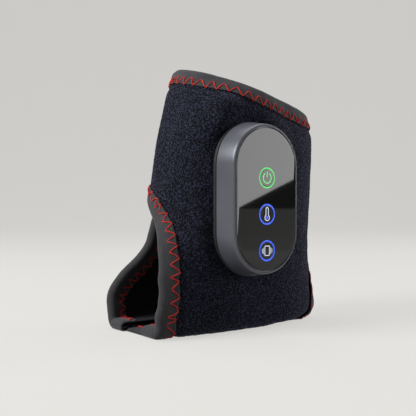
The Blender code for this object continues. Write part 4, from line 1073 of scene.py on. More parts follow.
def make_tape(name, node, edge, thickness=WALL_DEPTH, body="wrap", ease=0.0, closed=False, gather=None):
    """Binding tape folded round an edge, puckered along its stitching and drawn in at open ends."""
    distance, height, visible, middle, half = tape_profile(thickness, ease)
    run = edge.run
    shape = (len(run), len(distance))
    along = np.repeat(run[:, None], shape[1], axis=1)
    d = np.repeat(distance[None, :], shape[0], axis=0)
    h = np.repeat(height[None, :], shape[0], axis=0)
    side = np.sign(h - middle)
    pucker = np.cos(along * FULL_TURN / sizes().stitch_pitch)
    belly_width, end_run = 2.4 * MM, 2.2 * MM
    belly = np.exp(-(((d - STITCH_LINE) / belly_width) ** 2))
    depth = sizes().pucker if gather is None else sizes().pucker + gather(along, side)
    skin = (np.arange(shape[1]) < visible)[None, :]
    h = h + side * pucker * belly * depth * skin * (np.abs(h - middle) > half * 0.5)
    if not closed:
        ends = np.minimum(along, run[-1] - along)
        draw = np.sqrt(np.clip(1 - (1 - np.clip(ends / end_run, 0, 1)) ** 2, 0.06, 1))
        h = middle + (h - middle) * (0.55 + 0.45 * draw)
        d = d * (0.86 + 0.14 * draw)
    places = edge.at(along, d, h)
    bumps = np.array([waves(Vector(p), 170, 0.14 * MM) for p in places.reshape(-1, 3)]).reshape(shape)
    outwards = unit(places - places.mean(axis=1, keepdims=True))
    places = places + outwards * (bumps * skin)[..., None]
    if closed:
        places[-1] = places[0]
    places = np.concatenate([places, places[:, :1]], axis=1)
    uv = np.stack(np.meshgrid(run_along(places[len(run) // 2]), run), axis=-1)
    grid_piece(name, places, tape_material(), body, [node], sharp=60, uv=uv)


def zigzag(edge, low, high, pitch, side, lift, closed=False):
    """A zigzag of thread over the tape's inner edge, as places and the directions away from the cloth."""
    total, margin, per = edge.run[-1], 1.2 * MM, 7
    turns = max(4, int(round(total / pitch)) * 2)
    start, end = (0, total) if closed else (margin, total - margin)
    corner = np.linspace(start, end, turns + 1)
    t = np.linspace(0, 1, per + 1)[:-1]
    run = np.concatenate([corner[k] + (corner[k + 1] - corner[k]) * t for k in range(turns)] + [[end]])
    softness, bulge, bulge_middle = 0.35, 0.3 * MM, 0.75
    ease = (1 - np.cos(t * math.pi)) / 2 * softness + t * (1 - softness)
    sway = np.concatenate([(ease if k % 2 == 0 else 1 - ease) for k in range(turns)] + [[float(turns % 2)]])
    arch = np.concatenate([np.sin(t * math.pi)] * turns + [[0.0]])
    wobble = np.array([noise.noise(Vector((r * 210, low * 900, 0.3))) for r in run]) * 0.35 * MM
    distance = low + (high - low) * sway + wobble
    tape_edge, step_run = BINDING_LEG - 0.3 * MM, 0.7 * MM
    off_tape = smooth_step((distance - tape_edge) / step_run)
    top, base = lift
    height = top + (base - top) * off_tape + (arch - bulge_middle) * bulge
    if side < 0:
        height = -height
    places = edge.at(run, distance, height)
    above = edge.at(run, distance, height + side * 1.0 * MM)
    over = unit(above - places)
    places[:, 2] = np.maximum(places[:, 2], sizes().thread_width / 2)
    return places, over


def thread_rings(line, normals, width):
    tangent = unit(np.gradient(line, axis=0))
    across = unit(np.cross(tangent, normals))
    over = unit(np.cross(across, tangent))
    angles = (np.arange(8) * FULL_TURN / 8)[None, :, None]
    rings = np.cos(angles) * across[:, None, :] + np.sin(angles) * over[:, None, :]
    rings = line[:, None, :] + width / 2 * rings
    return np.concatenate([rings, rings[:, :1]], axis=1)


def sew(name, lines, body):
    mesh = bmesh.new()
    for line, normals in lines:
        mapped_grid(mesh, thread_rings(line, normals, sizes().thread_width))
    close_up(mesh)
    finish_piece(name, mesh, thread_material(), body, sharp=0)


def stitch_tape(name, edge, thickness=WALL_DEPTH, body="wrap", ease=0.0, closed=False):
    """Zigzag stitching over both legs of a binding."""
    reach, pitch = sizes().stitch_width / 2, sizes().stitch_pitch
    low, high = STITCH_LINE - reach, STITCH_LINE + reach
    top = BINDING_OUTER_GAP + BINDING_THICKNESS + ease + 0.08 * MM
    deep = thickness + BINDING_INNER_GAP + BINDING_THICKNESS + ease + 0.02 * MM
    heights = ((1, (top, 0.75 * MM + ease)), (-1, (deep, deep - 0.2 * MM)))
    sew(name, [zigzag(edge, low, high, pitch, side, lift, closed) for side, lift in heights], body)


def toe_gather(along, side):
    """The inner toe binding is gathered where it rounds the toe's lower corner."""
    length = inner_toe_edge().run[-1]
    near = np.exp(-(((along - (length - 36 * MM)) / (22 * MM)) ** 2))
    return near * 0.5 * MM * (side < 0)


def build_bindings():
    make_tape("top_tape", "top_binding", top_edge())
    make_tape("outer_toe_tape", "outer_toe_binding", outer_toe_edge())
    make_tape("inner_toe_tape", "inner_toe_binding", inner_toe_edge(), gather=toe_gather)
    make_tape("heel_tape", "heel_binding", HeelEdge(HEEL_STEPS), ease=HEEL_BINDING_EASE, closed=True)


def build_stitching():
    stitch_tape("top_stitching", top_edge())
    stitch_tape("outer_toe_stitching", outer_toe_edge())
    stitch_tape("inner_toe_stitching", inner_toe_edge())
    stitch_tape("heel_stitching", HeelEdge(HEEL_STEPS), ease=HEEL_BINDING_EASE, closed=True)


def build_flap():
    rows, columns = 80, 90
    across = (1 - np.cos(np.linspace(0, 1, rows) * math.pi)) / 2
    along = flap_reach(across)[:, None] * np.linspace(0, 1, columns)[None, :]
    turn, descent = flap_spot(along, np.repeat(across[:, None], columns, axis=1))
    places = flap_surface(turn, descent, np.zeros(turn.shape))
    edge = flap_edge()
    tree = tree_of(edge.at(edge.run, 0.0, 0.0))
    lift = np.zeros(turn.shape)
    for spot in np.ndindex(turn.shape):
        place = Vector(places[spot])
        free = clear_of_binding(tree, place) * float(smooth_step((along[spot] - 0.02) / 0.12))
        swell = 0.7 * MM + waves(place, 45, 0.35 * MM)
        lift[spot] = (swell + waves(place, NAP_WAVES, sizes().nap_height)) * free
    mesh = bmesh.new()
    mapped_grid(mesh, flap_surface(turn, descent, -lift))
    bmesh.ops.recalc_face_normals(mesh, faces=mesh.faces)
    if sum((face.normal for face in mesh.faces), Vector()).y < 0:
        bmesh.ops.reverse_faces(mesh, faces=mesh.faces)
    body, node = "closing_flap", "closure_flap"
    piece = finish_piece("flap_fleece", mesh, fleece_material(), body, [node], sharp=0)
    thicken(piece, SHELL_THICKNESS)
    make_tape("flap_tape", "flap_binding", edge, SHELL_THICKNESS, body)
    stitch_tape("flap_stitching", edge, SHELL_THICKNESS, body)
    build_hook_tabs()


def build_hook_tabs():
    """Hook tape under the flap: a backing with rows of small hooks."""
    hooks = moulded("hook_tape", colours().hook, 0.55, bump=0.3)
    rows, columns, margin = 60, 110, 2
    row, column = np.arange(rows)[:, None], np.arange(columns)[None, :]
    hook = (row % 3 == 1) & (row > margin) & (row < rows - 1 - margin)
    hook = hook & (column % 3 == 1) & (column > margin) & (column < columns - 1 - margin)
    seat = SHELL_THICKNESS + SEAT_GAP
    for name, row_share in zip(("upper_hook_tab", "lower_hook_tab"), HOOK_ROW_SHARES):
        descents = np.linspace(row_share - HOOK_HALF_SHARE, row_share + HOOK_HALF_SHARE, rows)
        t, d = np.meshgrid(np.linspace(*HOOK_TURNS, columns), descents)
        inner = flap_surface(t, d, seat + HOOK_THICKNESS * np.where(hook, 1.0, 0.45))
        back = flap_surface(t, d, np.full(t.shape, seat))
        places = np.concatenate([inner, back[::-1], inner[:1]])
        grid_piece(f"{name}_tape", places, hooks, "closing_flap", [name], sharp=30)


# The controller


def middle_of(name):
    low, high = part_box(name)
    return (low[0] + high[0]) / 2, (low[2] + high[2]) / 2


def key_middle(key):
    x, z = middle_of(f"{key}_ring")
    return x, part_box(f"{key}_ring")[0][1], z


def stacked_piece(name, rings, material, body, replaces=(), sharp=40):
    mesh = bmesh.new()
    stack(mesh, rings)
    return finish_piece(name, mesh, material, body, replaces, sharp)


def pill_piece(name, node, corners, material, sharp=50):
    """A pill as large as a node's box, through rounded corners of (inset, depth, radius)."""
    low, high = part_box(node)
    height, width = high[2] - low[2], high[0] - low[0]
    rings = [pill_ring(height - 2 * inset, width - 2 * inset, y) for inset, y in rounded_profile(corners)]
    return stacked_piece(name, rings, material, "wrap", [node], sharp)


def round_cutter(x, z, radius, ends, steps=48):
    return cutter([disc_ring(x, z, radius, y, steps) for y in ends])


def stadium_ring(low, high, grow, z, steps=32):
    """A flat-sided oval across Z between two corners, larger all round by grow."""
    half_x, half_y = (high[0] - low[0]) / 2 + grow, (high[1] - low[1]) / 2 + grow
    middle_x, middle_y = (high[0] + low[0]) / 2, (high[1] + low[1]) / 2
    angles = (np.arange(steps) + 0.5) * FULL_TURN / steps
    run = half_x - half_y
    x = middle_x + half_y * np.cos(angles) + run * np.sign(np.cos(angles))
    return np.stack([x, middle_y + half_y * np.sin(angles), np.full(steps, z)], axis=-1)


def build_case():
    """The grey case: a tapered pill with a rounded chamfer and a thin lip round the panel."""
    lip = 0.5 * MM
    panel_low, panel_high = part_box("face_panel")
    recess = (CASE_WIDTH - (panel_high[0] - panel_low[0])) / 2 - 0.2 * MM
    corners = [
        (CASE_TAPER + CASE_WALL, LEDGE_BACK_Y, 0),
        (CASE_WALL, CASE_BACK_Y, 0),
        (0.25 * MM, CASE_BACK_Y, 0.2 * MM),
        (0.0, CASE_BACK_Y - 0.5 * MM, 0.3 * MM),
        (CASE_TAPER, CASE_FACE_Y + CASE_CHAMFER, 0.9 * MM),
        (recess - lip - 0.35 * MM, CASE_FACE_Y, 0.5 * MM),
        (recess - lip, CASE_FACE_Y, 0.1 * MM),
        (recess, CASE_FACE_Y, 0.12 * MM),
        (recess, LEDGE_Y, 0),
    ]
    piece = pill_piece("case_shell", "front_shell", corners, case_material())
    holes = []
    for key in KEY_NAMES:
        x, z = middle_of(f"{key}_ring")
        holes.append(round_cutter(x, z, 2.3 * MM, (LEDGE_Y - 3 * MM, LEDGE_BACK_Y + 3 * MM)))
    low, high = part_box("charging_socket")
    port = [stadium_ring(low, high, 0.35 * MM, z) for z in (low[2] - 6 * MM, high[2] + 0.5 * MM)]
    cut_away(piece, [*holes, cutter(port)], 50)


def build_base():
    """The black base that shows as a thin line behind the case, and the plate inside the wrap."""
    front, back = CASE_BACK_Y + 0.3 * MM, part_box("back_shell")[1][1]
    corners = [(0.6 * MM, front, 0), (0.0, front, 0.3 * MM), (0.0, back, 0.4 * MM), (1.2 * MM, back, 0)]
    pill_piece("case_base", "back_shell", corners, black_material())
    front, back = [corner[1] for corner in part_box("clamp_plate")]
    corners = [(0.3 * MM, front, 0), (0.0, front, 0.15 * MM), (0.0, back, 0.6 * MM), (2.5 * MM, back, 0)]
    plate = pill_piece("inside_plate", "clamp_plate", corners, black_material())
    ends = (front - 2 * MM, back + 2 * MM)
    cut_away(plate, [round_cutter(*middle_of(name), 1.3 * MM, ends, 32) for name in CLAMP_SCREWS], 50)


def build_screws():
    """The two screws inside the wrap, with domed heads and cross recesses."""
    for name in CLAMP_SCREWS:
        low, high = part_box(name)
        x, z = middle_of(name)
        head, top, seat = (high[0] - low[0]) / 2, high[1], high[1] - 1.1 * MM
        corners = [
            (1.0 * MM, low[1], 0), (1.0 * MM, seat, 0), (head, seat, 0.1 * MM),
            (head, top - 0.5 * MM, 0.3 * MM), (head * 0.55, top, 0.5 * MM), (0.3 * MM, top, 0),
        ]
        rings = [disc_ring(x, z, radius, y, 40) for radius, y in rounded_profile(corners)]
        piece = stacked_piece(f"{name}_domed", rings, steel_material(), "wrap", [name])
        arms = []
        for width, height in ((2.2 * MM, 0.5 * MM), (0.5 * MM, 2.2 * MM)):
            arm = np.array([(-1, 0, -1), (1, 0, -1), (1, 0, 1), (-1, 0, 1)]) * (width / 2, 0, height / 2)
            arms.append(cutter([arm + (x, y, z) for y in (top - 0.6 * MM, top + 1 * MM)]))
        cut_away(piece, arms, 40)


def build_panel():
    back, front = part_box("face_panel")[1][1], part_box("face_panel")[0][1]
    corners = [(0.1 * MM, back, 0), (0.0, back - 0.1 * MM, 0), (0.0, front, 0.2 * MM), (1.5 * MM, front, 0)]
    piece = pill_piece("gloss_face", "face_panel", corners, panel_material(), 15)
    ring_low, ring_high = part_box("power_ring")
    radius = (ring_high[0] - ring_low[0]) / 2 + 0.06 * MM
    ends = (front - 2 * MM, back + 2 * MM)
    cut_away(piece, [round_cutter(*middle_of(f"{key}_ring"), radius, ends, 72) for key in KEY_NAMES], 15)


def build_rings():
    for key in KEY_NAMES:
        low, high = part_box(f"{key}_ring")
        x, z = middle_of(f"{key}_ring")
        outside = (high[0] - low[0]) / 2
        inside = outside - 0.85 * MM
        front, back, edge, corner = low[1], high[1], low[1] + 0.08 * MM, 0.1 * MM
        section = [
            (outside, back), (outside, edge), (outside - corner, front),
            (inside + corner, front), (inside, edge), (inside, back), (outside, back),
        ]
        places = np.stack([disc_ring(x, z, radius, y, 96) for radius, y in section], axis=1)
        places = np.concatenate([places, places[:1]])
        green = key == "power"
        glow, slot = (green_light(), "ring_green") if green else (blue_light(), "ring_blue")
        grid_piece(f"{key}_light_ring", places, glow, "wrap", [f"{key}_ring"], sharp=50)


def build_keys():
    stem, cap_back = 2.0 * MM, LEDGE_Y - 0.45 * MM
    for key in KEY_NAMES:
        low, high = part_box(f"{key}_key")
        x, z = middle_of(f"{key}_ring")
        radius, front, back = (high[0] - low[0]) / 2, low[1], high[1]
        corners = [
            (0.3 * MM, back, 0), (stem, back, 0), (stem, cap_back, 0), (radius, cap_back, 0),
            (radius, front, 0.18 * MM), (radius - 0.4 * MM, front, 0), (0.4 * MM, front, 0),
        ]
        rings = [disc_ring(x, z, r, y, 64) for r, y in rounded_profile(corners)]
        body, node = f"{key}_button", f"{key}_key"
        stacked_piece(f"{key}_cap", rings, panel_material(), body, [node], sharp=15)
    build_symbols()


def symbol_ribbon(mesh, line, width, y, closed=False):
    """A thin raised stroke along a line of (x, z) places on a key's face."""
    if closed:
        tangent = unit(np.roll(line, -1, axis=0) - np.roll(line, 1, axis=0))
    else:
        tangent = unit(np.gradient(line, axis=0))
    side = np.stack([-tangent[:, 1], tangent[:, 0]], axis=-1) * width / 2
    raised, sunk = y - 0.06 * MM, y + 0.04 * MM
    left, right = line + side, line - side
    section = [(left, sunk), (left, raised), (right, raised), (right, sunk), (left, sunk)]
    places = np.stack([np.insert(edge, 1, level, axis=1) for edge, level in section], axis=1)
    if closed:
        places = np.concatenate([places, places[:1]])
    mapped_grid(mesh, places)


def arc(x, z, radius, start, end, count):
    """Places (x, z) round an arc between two angles in degrees."""
    angles = np.radians(np.linspace(start, end, count))
    return np.stack([x + radius * np.cos(angles), z + radius * np.sin(angles)], axis=-1)


def key_sign(name, key, material, strokes):
    """A sign on a key, of strokes of (places round the key's middle, width, closed)."""
    x, y, z = key_middle(key)
    mesh = bmesh.new()
    for line, width, closed in strokes:
        symbol_ribbon(mesh, np.array(line, float) + (x, z), width * sizes().symbol_stroke, y, closed)
    close_up(mesh, 1e-7)
    finish_piece(name, mesh, material, f"{key}_button", sharp=30)


def build_symbols():
    """Plain signs on the keys: a power sign, a thermometer and a shaking device."""
    strokes = [
        (arc(0, 0, 3.1 * MM, 122, 418, 40), 1.0, False),
        ([(0, 0.4 * MM), (0, 2.0 * MM), (0, 3.7 * MM)], 1.0, False),
    ]
    key_sign("power_sign", "power", green_light(), strokes)

    white = lit("white_light", (0.55, 0.60, 0.70))
    tube_top, bulb = 3.1 * MM, -2.0 * MM
    outline = [*arc(0, tube_top, 0.95 * MM, 180, 0, 14), *arc(0, bulb, 1.75 * MM, 57, -237, 40)]
    key_sign("heat_sign", "heat", white, [(outline, 0.8, True)])
    x, y, z = key_middle("heat")
    dome = ((0.95 * MM, y + 0.04 * MM), (0.95 * MM, y - 0.05 * MM), (0.8 * MM, y - 0.08 * MM))
    rings = [disc_ring(x, z + bulb, radius, level, 32) for radius, level in dome]
    stacked_piece("heat_sign_bulb", rings, blue_light(), "heat_button", sharp=30)

    wide, tall, corner = 1.3 * MM, 2.3 * MM, 0.5 * MM
    outline = []
    for right, up, start in ((1, 1, 0), (-1, 1, 90), (-1, -1, 180), (1, -1, 270)):
        outline += [*arc(right * wide, up * tall, corner, start, start + 90, 8)]
    strokes = [(outline, 0.8, True)]
    for side in (-1, 1):
        for reach, half in ((2.8 * MM, 1.9 * MM), (3.8 * MM, 1.3 * MM)):
            strokes.append(([(side * reach, level * half) for level in (-1, 0, 1)], 0.6, False))
    key_sign("massage_sign", "massage", white, strokes)


def build_socket():
    """The charging socket in the case's lower end: a metal mouth with a tongue."""
    low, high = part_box("charging_socket")
    steel = moulded("socket_steel", (0.5, 0.5, 0.52), 0.3, metallic=1.0, bump=0.05)
    wall_thickness, depth = 0.35 * MM, 0.5 * MM
    outside = [stadium_ring(low, high, 0.0, z) for z in (high[2], low[2])]
    inside = [stadium_ring(low, high, -wall_thickness, z) for z in (low[2], high[2] - depth)]
    stacked_piece("charging_mouth", outside + inside, steel, "wrap", ["charging_socket"])
    margin = np.array([1.2 * MM, 1.25 * MM])
    low_corner, high_corner = low[:2] + margin, high[:2] - margin
    ends = (high[2] - 0.45 * MM, low[2] + 1.0 * MM)
    rings = [stadium_ring(low_corner, high_corner, 0.0, z) for z in ends]
    stacked_piece("charging_tongue", rings, black_material(), "wrap")


def finish_inside():
    """Finishes for the pieces that stay as they are inside the case and the wall."""
    steel = steel_material()
    board = moulded("circuit_board", (0.015, 0.1, 0.04), 0.4, bump=0.15, grains=900.0)
    foil = moulded("battery_foil", (0.5, 0.51, 0.53), 0.35, metallic=0.7, bump=0.3, grains=700.0)
    dark = moulded("component_body", (0.025, 0.025, 0.028), 0.5, bump=0.1)
    lens = moulded("lamp_lens", (0.75, 0.75, 0.68), 0.25, bump=0.02)
    film = moulded("heating_film", (0.06, 0.035, 0.02), 0.4, bump=0.2, grains=500.0)
    chosen = {
        "main_board": board, "battery": foil, "control_chip": dark, "temperature_sensor": dark,
        "vibration_motor": steel, "motor_weight": steel, "heater_lead": film, "film_link_strip": film,
        "outer_heating_film": film, "inner_heating_film": film,
    }
    chosen |= {f"case_screw_{k}": steel for k in range(1, 5)}
    for key in KEY_NAMES:
        chosen |= {f"{key}_switch": dark, f"{key}_lamp": lens}
    for name, material in chosen.items():
        node = bpy.data.objects[name]
        if not node.material_slots:
            node.data.materials.append(material)
        for place in node.material_slots:
            place.material = material


# Stage, lights and camera

VIEW_TURN = math.radians(37)
VIEW_ALONG = np.array([math.sin(VIEW_TURN), math.cos(VIEW_TURN), 0.0])
VIEW_RIGHT = np.array([math.cos(VIEW_TURN), -math.sin(VIEW_TURN), 0.0])
VIEW_DISTANCE = 467.5 * MM
VIEW_SHIFT = 15.85 * MM
VIEW_HEIGHT = np.array([0.0, 0.0, 81.1 * MM])
VIEW_PLACE = VIEW_HEIGHT - VIEW_ALONG * VIEW_DISTANCE - VIEW_RIGHT * VIEW_SHIFT
VIEW_PIXELS = 698.0
VIEW_LEVEL = 200.0
PICTURE = 416.0
SENSOR = 36.0

# The paper floor and the backdrop that it sweeps up into
SWEEP_START = 1.4
SWEEP_RADIUS = 1.6
SWEEP_REACH = 6.0
BACKDROP_SEEN = 0.78

# The mirrored lamp and the two picture places that its lower edge passes
CARD_REACH = 1.15
CARD_WIDTH = 0.34
CARD_HEIGHT = 0.22
CARD_EDGE = ((238.0, 208.0), (296.0, 178.0))


def build_camera():
    camera = add_object("picture_camera", bpy.data.cameras.new("picture_camera"))
    camera.data.sensor_width = SENSOR
    camera.data.lens = SENSOR * VIEW_PIXELS / PICTURE
    camera.data.clip_start = 10 * MM
    camera.location = VIEW_PLACE
    pitch = math.atan((PICTURE / 2 - VIEW_LEVEL) / VIEW_PIXELS)
    camera.rotation_euler = (math.radians(90) - pitch, 0.0, -VIEW_TURN)
    bpy.context.scene.camera = camera


def seen_on_face(u, v):
    """Where a pixel of the picture falls on the controller's face."""
    ray = VIEW_ALONG * VIEW_PIXELS + VIEW_RIGHT * (u - PICTURE / 2) + np.array([0, 0, VIEW_LEVEL - v])
    return VIEW_PLACE + ray * (CASE_FACE_Y - VIEW_PLACE[1]) / ray[1]


def area_lamp(name, place, target, width, height, power, up=(0.0, 0.0, 1.0)):
    """A rectangular lamp at a place, turned to a target, with its height along up."""
    lamp = add_object(name, bpy.data.lights.new(name, "AREA"))
    lamp.data.shape = "RECTANGLE"
    lamp.data.size, lamp.data.size_y = width, height
    lamp.data.energy = power
    away = unit(np.asarray(place, float) - np.asarray(target, float))
    lamp_x = unit(np.cross(up, away))
    lamp_y = np.cross(away, lamp_x)
    lamp.location = place
    lamp.rotation_euler = Matrix(np.stack([lamp_x, lamp_y, away], axis=1).tolist()).to_euler()


def build_card_lamp():
    """The soft lamp whose slanted lower edge the panel mirrors."""
    mirrored = VIEW_PLACE.copy()
    mirrored[1] = 2 * CASE_FACE_Y - mirrored[1]
    ends = [mirrored + unit(seen_on_face(u, v) - mirrored) * CARD_REACH for u, v in CARD_EDGE]
    edge = unit(ends[1] - ends[0])
    middle = (ends[0] + ends[1]) / 2
    away = unit(middle - mirrored)
    up = unit(np.cross(edge, away))
    if up[2] < 0:
        up = -up
    place = middle + up * CARD_HEIGHT / 2
    area_lamp("card_lamp", place, place - away, CARD_WIDTH, CARD_HEIGHT, sizes().card_power, up)


def paper_looks(net):
    """Pale paper that looks evenly bright to the eye but throws little light back on the wrap."""
    floor = colours().floor
    mottle = net.speckle(9.0)
    path = net.nodes.new("ShaderNodeLightPath").outputs
    seen = net.maths("MAXIMUM", path["Is Camera Ray"], path["Is Glossy Ray"])
    seen = net.maths("MAXIMUM", seen, path["Is Transmission Ray"])
    return {
        "Base Color": net.two_tones(mottle, shade(floor, 0.26), shade(floor, 0.27)),
        "Emission Color": net.two_tones(mottle, shade(floor, 0.99), floor),
        "Emission Strength": net.maths("MULTIPLY", seen, sizes().paper_glow),
        "Roughness": 0.9,
        "Specular IOR Level": 0.1,
    }


def build_paper():
    """The floor and the backdrop, one sheet of paper."""
    bend = np.radians(np.linspace(5, 90, 18))
    end = SWEEP_START + SWEEP_RADIUS
    flat = np.linspace(-SWEEP_REACH, SWEEP_START, 20)
    run = np.concatenate([flat, SWEEP_START + SWEEP_RADIUS * np.sin(bend), [end, end]])
    rise = np.concatenate([0 * flat, SWEEP_RADIUS * (1 - np.cos(bend)), [end, SWEEP_REACH]])
    side = np.linspace(-SWEEP_REACH, SWEEP_REACH, 13)
    places = VIEW_ALONG * run[:, None, None] + VIEW_RIGHT * side[:, None]
    places[..., 2] = rise[:, None]
    mesh = bmesh.new()
    mapped_grid(mesh, places)
    paper = add_object("paper_sweep", mesh)
    paper.data.materials.append(material_named("pale_paper", paper_looks))
    paper.data.shade_smooth()


def build_stage():
    build_paper()
    build_card_lamp()
    area_lamp("left_lamp", (-1.15, 0.25, 0.85), (-0.02, 0, 0.11), 0.7, 0.6, sizes().left_power)
    area_lamp("top_lamp", (0.15, 0.25, 1.3), (0, 0, 0.1), 0.9, 0.7, sizes().top_power)
    area_lamp("right_lamp", (1.1, -0.2, 0.45), (0.03, 0, 0.09), 0.4, 0.8, sizes().right_power)
    world = bpy.data.worlds.new("pale_room")
    world.use_nodes = True
    net = Net(world.node_tree)
    camera_ray = net.nodes.new("ShaderNodeLightPath").outputs["Is Camera Ray"]
    room = sizes().room_strength
    strength = net.scaled_sum(camera_ray, BACKDROP_SEEN - room, room)
    net.fill(net.nodes["Background"], {"Color": (*colours().room, 1), "Strength": strength})
    bpy.context.scene.world = world
    bpy.context.scene.view_settings.view_transform = "Standard"
    build_camera()


# Settings


def length(name, words, default):
    return FloatProperty(name=name, description=words, default=default, unit="LENGTH", precision=5)


def amount(name, words, default):
    return FloatProperty(name=name, description=words, default=default)


def tint(name, words, default):
    looks = {"subtype": "COLOR", "size": 3, "min": 0, "max": 1}
    return FloatVectorProperty(name=name, description=words, default=default, **looks)


class WrapSizes(bpy.types.PropertyGroup):
    fleece_spacing: length("Fleece spacing", "Distance between the fleece's corners", 1.25 * MM)
    fleece_swell: length("Fleece swell", "How far the fleece stands over the wall", 0.9 * MM)
    nap_height: length("Nap height", "Height of the brushed loops", 0.3 * MM)
    pucker: length("Pucker", "Depth of the puckers along the stitching", 0.12 * MM)
    stitch_pitch: length("Stitch pitch", "Length of one zigzag of the stitching", 7.2 * MM)
    stitch_width: length("Stitch width", "Width of the zigzag stitching", 5.2 * MM)
    thread_width: length("Thread width", "Thickness of the sewing thread", 0.72 * MM)
    rib_pitch: length("Rib pitch", "Distance between the gusset's ribs", 1.0 * MM)
    rib_depth: length("Rib depth", "Height of the gusset's ribs", 0.25 * MM)
    symbol_stroke: length("Sign stroke", "Width of the lines of the signs on the keys", 0.62 * MM)
    glow: amount("Glow", "Strength of the lit rings and signs", 0.95)
    card_power: amount("Card lamp", "Power of the lamp that the panel mirrors, in watts", 1.35)
    left_power: amount("Left lamp", "Power of the lamp on the left, in watts", 19.0)
    top_power: amount("Top lamp", "Power of the lamp overhead, in watts", 5.0)
    right_power: amount("Right lamp", "Power of the lamp on the right, in watts", 4.0)
    room_strength: amount("Room light", "Strength of the room's even light", 0.08)
    paper_glow: amount("Paper glow", "How bright the paper looks in its own shade", 0.72)


class WrapColours(bpy.types.PropertyGroup):
    fleece: tint("Fleece", "Ground colour of the fleece", (0.006, 0.007, 0.013))
    fleece_fleck: tint("Fleece fleck", "Colour of the fleece's light loops", (0.034, 0.038, 0.066))
    tape: tint("Tape", "Colour of the binding tape", (0.050, 0.049, 0.052))
    thread: tint("Thread", "Colour of the sewing thread", (0.78, 0.035, 0.022))
    lining: tint("Lining", "Colour of the lining", (0.008, 0.008, 0.009))
    elastic: tint("Elastic", "Colour of the gusset's elastic", (0.03, 0.031, 0.036))
    hook: tint("Hook tape", "Colour of the hook tape", (0.02, 0.02, 0.022))
    case: tint("Case", "Colour of the controller's case", (0.125, 0.13, 0.155))
    base: tint("Base", "Colour of the controller's base", (0.018, 0.018, 0.02))
    panel: tint("Panel", "Colour of the controller's face", (0.008, 0.008, 0.009))
    green: tint("Green light", "Colour of the power key's light", (0.12, 0.62, 0.16))
    blue: tint("Blue light", "Colour of the other keys' light", (0.03, 0.10, 0.78))
    floor: tint("Floor", "Colour of the floor and backdrop", (0.80, 0.79, 0.76))
    room: tint("Room", "Colour of the room's light", (1.0, 0.99, 0.97))


# Operators


class RunsBuilders:
    """What the operators share: each runs its own builders."""

    builders = ()

    def execute(self, context):
        for build in self.builders:
            build()
        return {"FINISHED"}


class ANKLE_WRAP_OT_fleece(RunsBuilders, bpy.types.Operator):
    """Lay the fleece shell and its lining over the wrap's wall"""

    bl_idname = "ankle_wrap.fleece"
    bl_label = "Fleece and Lining"
    builders = (build_fleece, build_lining)


class ANKLE_WRAP_OT_gusset(RunsBuilders, bpy.types.Operator):
    """Lay the ribbed elastic along the sole"""

    bl_idname = "ankle_wrap.gusset"
    bl_label = "Sole Gusset"
    builders = (build_gusset,)


class ANKLE_WRAP_OT_bindings(RunsBuilders, bpy.types.Operator):
    """Fold binding tape round the wrap's edges"""

    bl_idname = "ankle_wrap.bindings"
    bl_label = "Bindings"
    builders = (build_bindings,)


class ANKLE_WRAP_OT_stitching(RunsBuilders, bpy.types.Operator):
    """Sew the bindings with zigzag thread"""

    bl_idname = "ankle_wrap.stitching"
    bl_label = "Stitching"
    builders = (build_stitching,)


class ANKLE_WRAP_OT_flap(RunsBuilders, bpy.types.Operator):
    """Make the closing flap with its binding and hook tape"""

    bl_idname = "ankle_wrap.flap"
    bl_label = "Closing Flap"
    builders = (build_flap,)


class ANKLE_WRAP_OT_case(RunsBuilders, bpy.types.Operator):
    """Make the controller's case, its base, the plate inside the wrap and its screws"""

    bl_idname = "ankle_wrap.case"
    bl_label = "Controller Case"
    builders = (build_case, build_base, build_screws, build_socket)


class ANKLE_WRAP_OT_face(RunsBuilders, bpy.types.Operator):
    """Make the controller's face with its keys, lit rings and signs"""

    bl_idname = "ankle_wrap.face"
    bl_label = "Controller Face"
    builders = (build_panel, build_rings, build_keys)


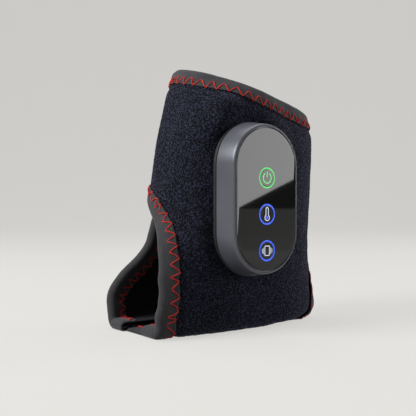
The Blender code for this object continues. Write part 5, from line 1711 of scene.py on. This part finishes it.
class ANKLE_WRAP_OT_inside(RunsBuilders, bpy.types.Operator):
    """Finish the pieces inside the case and the wall"""

    bl_idname = "ankle_wrap.inside"
    bl_label = "Inside Pieces"
    builders = (finish_inside,)


class ANKLE_WRAP_OT_stage(RunsBuilders, bpy.types.Operator):
    """Set the floor, the lamps and the camera"""

    bl_idname = "ankle_wrap.stage"
    bl_label = "Stage"
    builders = (build_stage,)


OPERATORS = (
    ANKLE_WRAP_OT_fleece,
    ANKLE_WRAP_OT_gusset,
    ANKLE_WRAP_OT_bindings,
    ANKLE_WRAP_OT_stitching,
    ANKLE_WRAP_OT_flap,
    ANKLE_WRAP_OT_case,
    ANKLE_WRAP_OT_face,
    ANKLE_WRAP_OT_inside,
    ANKLE_WRAP_OT_stage,
)


class ANKLE_WRAP_PT_panel(bpy.types.Panel):
    """Lists the wrap's sizes, colours and pieces"""

    bl_idname = "ANKLE_WRAP_PT_panel"
    bl_label = "Ankle Wrap"
    bl_space_type = "VIEW_3D"
    bl_region_type = "UI"
    bl_category = "Ankle Wrap"

    def draw(self, context):
        layout = self.layout
        for settings in (context.scene.wrap_sizes, context.scene.wrap_colours):
            box = layout.box()
            for name in settings.__annotations__:
                box.prop(settings, name)
        for operator in OPERATORS:
            layout.operator(operator.bl_idname)


CLASSES = (WrapSizes, WrapColours, *OPERATORS, ANKLE_WRAP_PT_panel)


def register():
    for each in CLASSES:
        bpy.utils.register_class(each)
    bpy.types.Scene.wrap_sizes = PointerProperty(type=WrapSizes)
    bpy.types.Scene.wrap_colours = PointerProperty(type=WrapColours)


def unregister():
    del bpy.types.Scene.wrap_colours
    del bpy.types.Scene.wrap_sizes
    for each in reversed(CLASSES):
        bpy.utils.unregister_class(each)


def main():
    register()
    bpy.ops.ankle_wrap.fleece()
    bpy.ops.ankle_wrap.gusset()
    bpy.ops.ankle_wrap.bindings()
    bpy.ops.ankle_wrap.stitching()
    bpy.ops.ankle_wrap.flap()
    bpy.ops.ankle_wrap.case()
    bpy.ops.ankle_wrap.face()
    bpy.ops.ankle_wrap.inside()
    bpy.ops.ankle_wrap.stage()


if __name__ == "__main__":
    main()
